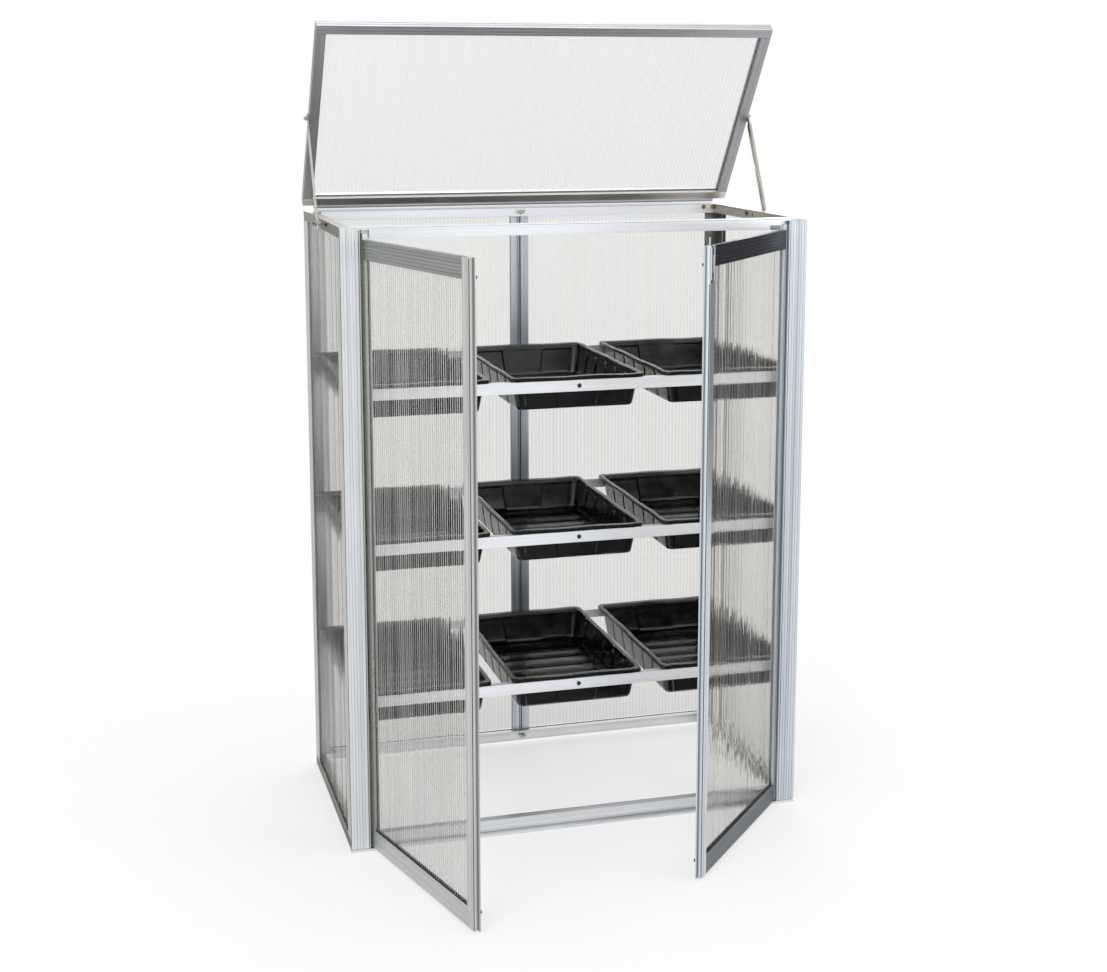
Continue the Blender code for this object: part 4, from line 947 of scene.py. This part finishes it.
def makeTrays():
    mesh = trayMesh()
    mesh.materials.append(blackPlastic)
    for level in ("low", "middle", "top"):
        for side in ("left", "centre", "right"):
            name = "tray_" + level + "_" + side
            low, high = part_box(name)
            middle = (low + high) / 2
            piece = newObject(name + "_moulded", mesh, (middle.x, middle.y, high.z - tray["rimTop"]))
            shell = piece.modifiers.new("wall", "SOLIDIFY")
            shell.thickness = tray["wall"]
            shell.offset = -1
            bevelled(piece, tray["edgeWidth"], 2, tray["edgeAngle"])
            piece.modifiers.new("faces", "WEIGHTED_NORMAL")
            bpy.context.view_layer.update()
            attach(piece, name)
            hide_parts(name)


makeTrays()
print("trays made")


# bolts, nuts, strips and clips that the CAD pieces leave out

hardware = {
    "edge": 0.0002,
    "boltRadius": 0.0036,
    "boltHeight": 0.0050,
    "plugRadius": 0.0050,
    "wingThick": 0.0013,
    "washer": (0.0037, 0.0068, 0.0010),
    # (radius, height) pairs of the flat screw that the stay swings past, and of the dark screw
    "flatScrew": [(0, 0), (0.0052, 0), (0.0052, 0.0005), (0.0044, 0.0010), (0.0020, 0.0011),
                  (0.0017, 0.0005), (0, 0.0005)],
    "darkScrew": [(0, 0), (0.0036, 0), (0.0036, 0.0030), (0.0030, 0.0042), (0.0014, 0.0046),
                  (0.0012, 0.0034), (0, 0.0034)],
    # the right half of a pair of wings
    "wing": [(0.002, -0.0022), (0.0045, -0.0030), (0.0085, -0.0006), (0.0095, 0.0034), (0.0073, 0.0062),
             (0.0052, 0.0046), (0.002, 0.0022)],
    "cornerBolts": [(0.470, 0.5168, 1.3550), (0.4945, 0.5168, 1.3550)],
    "lidCornerBolt": (-0.5250, 0.5130, 1.3940),
    "stayWasher": (-0.5375, 0.2630, 1.3520),
    "wingNuts": {"wing_nut_top": (0, 0.5096, 1.351), "wing_nut_foot": (0, 0.5096, 0.025)},
    "railPlug": (0.4972, 0.300, 1.3535),
    "railScrew": (-0.5198, 0.180, 1.3555),
    "doorScrews": [0.045, 1.300],
    "doorScrewInset": 0.0055,
    "sunk": 0.0002,  # how far plugs and dark screws start inside the face they sit on
}


def latheMesh(name, parts):
    # each part: (radius, height) pairs from the axis out and back to it, and how many sides it has
    points = []
    faces = []
    for profile, sides in parts:
        rings = []
        for radius, height in profile:
            if radius == 0:
                rings.append([len(points)])
                points.append((0, 0, height))
                continue
            rings.append(list(range(len(points), len(points) + sides)))
            for number in range(sides):
                angle = 2 * math.pi * number / sides
                points.append((radius * math.cos(angle), radius * math.sin(angle), height))
        for lower, upper in zip(rings, rings[1:]):
            for number in range(sides):
                after = (number + 1) % sides
                if len(lower) == 1:
                    faces.append((lower[0], upper[after], upper[number]))
                elif len(upper) == 1:
                    faces.append((lower[number], lower[after], upper[0]))
                else:
                    faces.append((lower[number], lower[after], upper[after], upper[number]))
    return solidMesh(name, points, faces)


def prismMesh(name, outline, low, high):
    # an outline in the XY plane drawn out from low to high
    count = len(outline)
    points = [(x, y, low) for x, y in outline] + [(x, y, high) for x, y in outline]
    faces = [tuple(reversed(range(count))), tuple(range(count, 2 * count))]
    for number in range(count):
        after = (number + 1) % count
        faces.append((number, after, count + after, count + number))
    return solidMesh(name, points, faces)


def boltMesh(name, radius, height):
    # a washer, a hex head and the shank's end in its middle
    washer = [(0, 0), (radius * 1.5, 0), (radius * 1.6, 0.0003), (radius * 1.6, 0.0009),
              (radius * 1.5, 0.0012), (0, 0.0012)]
    head = [(0, 0.001), (radius, 0.001), (radius, height - 0.0007), (radius * 0.88, height), (0, height)]
    tip = [(0, height - 0.0005), (radius * 0.5, height - 0.0005), (radius * 0.5, height + 0.0012),
           (radius * 0.4, height + 0.0018), (0, height + 0.0018)]
    return latheMesh(name, [(washer, 28), (head, 6), (tip, 18)])


def screwMesh(name, radius):
    # a round head with a dished middle
    head = [(0, 0), (radius, 0), (radius, radius * 0.18), (radius * 0.82, radius * 0.42),
            (radius * 0.45, radius * 0.5), (radius * 0.38, radius * 0.2), (0, radius * 0.2)]
    return latheMesh(name, [(head, 24)])


def ringMesh(name, inner, outer, height):
    ring = [(inner, 0), (outer * 0.96, 0), (outer, height * 0.3), (outer, height * 0.7),
            (outer * 0.96, height), (inner, height), (inner, 0)]
    return latheMesh(name, [(ring, 28)])


def reach(name, along):
    # how far a CAD piece goes along a direction
    along = Vector(along)
    values = [along.dot(nodes[name].matrix_world @ vertex.co) for vertex in nodes[name].data.vertices]
    return min(values), max(values)


def doorAxes(side):
    # along a door from its hinge, and square to it
    along = Vector(runs[side + "Door"])
    square = Vector((along.y, -along.x, 0))
    return along, square if side == "left" else -square


def fit(name, mesh, body, material, place=(0, 0, 0), outward=(0, 0, 1)):
    # a small piece whose own Z points outward
    piece = newObject(name, mesh, place)
    if outward != (0, 0, 1):
        piece.rotation_euler = Vector(outward).to_track_quat("Z", "Y").to_euler()
    give(piece, material)
    bevelled(piece, hardware["edge"], 2)
    bpy.context.view_layer.update()
    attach(piece, body)


def makeHardware():
    zinc = metalFor("zinc", "across")
    brass = metalFor("brass", "across")
    bolt = boltMesh("hex_bolt", hardware["boltRadius"], hardware["boltHeight"])
    first, second = hardware["cornerBolts"]
    fit("corner_bolt_1", bolt, "frame", zinc, first, (0, -1, 0))
    fit("corner_bolt_2", bolt, "frame", brass, second, (0, -1, 0))
    flat = latheMesh("flat_screw", [(hardware["flatScrew"], 28)])
    fit("lid_corner_bolt", flat, "lid", zinc, hardware["lidCornerBolt"], (-1, 0, 0))
    washer = ringMesh("washer", *hardware["washer"])
    fit("stay_foot_washer", washer, "frame", brass, hardware["stayWasher"], (-1, 0, 0))
    wing = hardware["wing"]
    wings = prismMesh("wings", wing + [(-x, y) for x, y in reversed(wing)], 0, hardware["wingThick"])
    for name, place in hardware["wingNuts"].items():
        fit(name, wings, "frame", zinc, place, (0, -1, 0))


def makeDarkFittings():
    plug = screwMesh("round_plug", hardware["plugRadius"])
    screw = latheMesh("dark_screw", [(hardware["darkScrew"], 24)])
    for level in ("low", "middle", "top"):
        low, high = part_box("shelf_rail_front_" + level)
        place = (0, low.y + hardware["sunk"], (low.z + high.z) / 2)
        fit("shelf_plug_" + level, plug, "frame", blackRubber, place, (0, -1, 0))
    for name, mesh, place in (("right_rail_plug", plug, hardware["railPlug"]),
                              ("left_rail_screw", screw, hardware["railScrew"])):
        fit(name, mesh, "frame", blackRubber, place, (-1, 0, 0))
    for side in ("left", "right"):
        along, square = doorAxes(side)
        stile = side + "_door_free_stile"
        end = reach(stile, along)[1] - hardware["doorScrewInset"]
        inside = reach(stile, square)[0] + hardware["sunk"]
        for number, height in enumerate(hardware["doorScrews"]):
            place = along * end + square * inside + Vector((0, 0, height))
            fit(side + "_door_screw_" + str(number + 1), screw, side + "_door", blackRubber,
                place, -square)


strips = {
    # in from the post's outer face, then back from the front
    # a dark strip for the shadow in the gap at each front post, a painted shadow:
    "shadowStrip": [(0.0006, 0.0012), (-0.0002, 0.0016), (-0.0003, 0.0045), (-0.0002, 0.0072),
               (0.0006, 0.0078)],
    "shadowStripFoot": 0.012,
    "shadowStripTopGap": 0.004,
    # back from the rail's face, then up from the ground
    "frontRail": [(0.0006, 1.3598), (-0.0002, 1.3600), (-0.0003, 1.3606), (-0.0002, 1.3612),
                  (0.0006, 1.3614)],
    # back from the front, then up from the ground
    "rearRail": [(0.5174, 1.3600), (0.5167, 1.3602), (0.5166, 1.3608), (0.5167, 1.3614), (0.5174, 1.3616)],
    "rearRailHalf": 0.496,
    # across the post's face, then back from it
    "rearSlot": [(-0.0009, 0.0010), (-0.0008, -0.0006), (0, -0.0009), (0.0008, -0.0006), (0.0009, 0.0010)],
    "rearSlotHeights": (0.030, 1.343),
    # back from the stile's end, then out from its face
    "doorCorner": [(0.0012, -0.0006), (0.0011, 0.0003), (0.0004, 0.0004), (0, 0.0002), (0.0001, -0.0006)],
    "doorCornerInset": 0.0062,
    "doorCornerGap": 0.002,
    "underDoorBolt": 1.262,  # the right door's line stops here, below the slide bolt
    # across the channel's edge, then back from the front
    "channel": [(-0.0007, 0.0008), (-0.0006, 0), (0, -0.0002), (0.0006, 0), (0.0007, 0.0008)],
    "channelInset": 0.0008,
    "channelFoot": 0.008,
    "channelTopGap": 0.0015,
}


def addStrip(name, outline, low, high, body="frame"):
    fit(name, prismMesh(name, outline, low, high), body, blackRubber)


def addRailLine(name, outline, low, high):
    # drawn out along X
    line = prismMesh(name, outline, low, high)
    fit(name, line, "frame", metalFor("stileBlue", "across"), outward=(1, 0, 0))


def doorOutline(shape, along, square):
    # pairs of distances along a door and square to it, as places in the greenhouse
    points = [along * end + square * out for end, out in shape]
    return [(point.x, point.y) for point in points]


def makeStrips():
    # dark strips down the front posts, where the side sheets meet them: a painted shadow of the gap there
    low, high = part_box("post_front_left")
    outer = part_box("post_front_right")[1].x
    left = [(low.x + inward, y) for inward, y in strips["shadowStrip"]]
    right = [(outer - inward, y) for inward, y in strips["shadowStrip"]]
    top = high.z - strips["shadowStripTopGap"]
    addStrip("post_shadow_strip_left", left, strips["shadowStripFoot"], top)
    addStrip("post_shadow_strip_right", right, strips["shadowStripFoot"], top)
    # the thin dark slot down the rear middle post
    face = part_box("post_rear_centre")[0].y
    slot = [(x, face + back) for x, back in strips["rearSlot"]]
    addStrip("rear_slot_line", slot, *strips["rearSlotHeights"])
    # a line along the top of the front rail
    low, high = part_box("rail_top_front")
    addRailLine("front_rail_line", [(low.y + back, z) for back, z in strips["frontRail"]], low.x, high.x)
    # the dark joint between each free stile's face and its end
    for side in ("left", "right"):
        along, square = doorAxes(side)
        stile = side + "_door_free_stile"
        face = reach(stile, square)[1]
        end = reach(stile, along)[1] - strips["doorCornerInset"]
        shape = [(end - back, face + out) for back, out in strips["doorCorner"]]
        low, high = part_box(stile)
        top = strips["underDoorBolt"] if side == "right" else high.z - strips["doorCornerGap"]
        addStrip(side + "_door_corner_line", doorOutline(shape, along, square),
                 low.z + strips["doorCornerGap"], top, side + "_door")
    # dark lines down the outer edges of the hinge channels
    for side in ("left", "right"):
        low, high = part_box("hinge_channel_" + side)
        inset = strips["channelInset"]
        edge = low.x + inset if side == "left" else high.x - inset
        addStrip("channel_line_" + side, [(edge + x, y) for x, y in strips["channel"]],
                 strips["channelFoot"], high.z - strips["channelTopGap"])


clips = {
    "frontClip": [(0.433, 1.3380), (0.4345, 1.3372), (0.4545, 1.3372), (0.456, 1.3380), (0.456, 1.3470),
                  (0.4545, 1.3478), (0.4345, 1.3478), (0.433, 1.3470)],
    "frontClipThick": 0.0022,
    "frontClipPlace": (0, 0.0001, 0),
    "railTab": [(0, 0), (0.016, 0), (0.0155, 0.0045), (0.0130, 0.0068), (0.0030, 0.0068),
                (0.0005, 0.0045)],
    "railTabThick": 0.0030,
    "railTabPlace": (-0.5010, 0.4100, 1.3618),
    "guide": [(-0.0012, 0), (0.0012, 0), (0.0012, 0.0022), (0.0006, 0.0030), (-0.0006, 0.0030),
              (-0.0012, 0.0022)],
    "guideGap": 0.0016,
    "guideSunk": 0.0004,
    "guideHeights": (1.270, 1.334),
}


def makeClips():
    grey = metalFor("doorGrey", "across")
    # the line along the rear top rail, just under the lid
    addRailLine("rear_rail_line", strips["rearRail"], -strips["rearRailHalf"], strips["rearRailHalf"])
    # a clip under the front rail's right end and a tab on the left rail
    clip = prismMesh("front_rail_clip", clips["frontClip"], 0, clips["frontClipThick"])
    fit("front_rail_clip", clip, "frame", grey, clips["frontClipPlace"], (0, -1, 0))
    tab = prismMesh("left_rail_tab", clips["railTab"], 0, clips["railTabThick"])
    fit("left_rail_tab", tab, "frame", grey, clips["railTabPlace"], (1, 0, 0))
    # the slide bolt's two guides
    along, square = doorAxes("right")
    low, high = reach("door_bolt", along)
    face = reach("right_door_free_stile", square)[1] - clips["guideSunk"]
    for word, place in (("hinge", low - clips["guideGap"]), ("free", high + clips["guideGap"])):
        name = "bolt_guide_" + word
        shape = [(place + side, face + out) for side, out in clips["guide"]]
        guide = prismMesh(name, doorOutline(shape, along, square), *clips["guideHeights"])
        fit(name, guide, "right_door", metalFor("boltBright", "up"))


makeHardware()
makeDarkFittings()
makeStrips()
makeClips()
print("small fittings made")
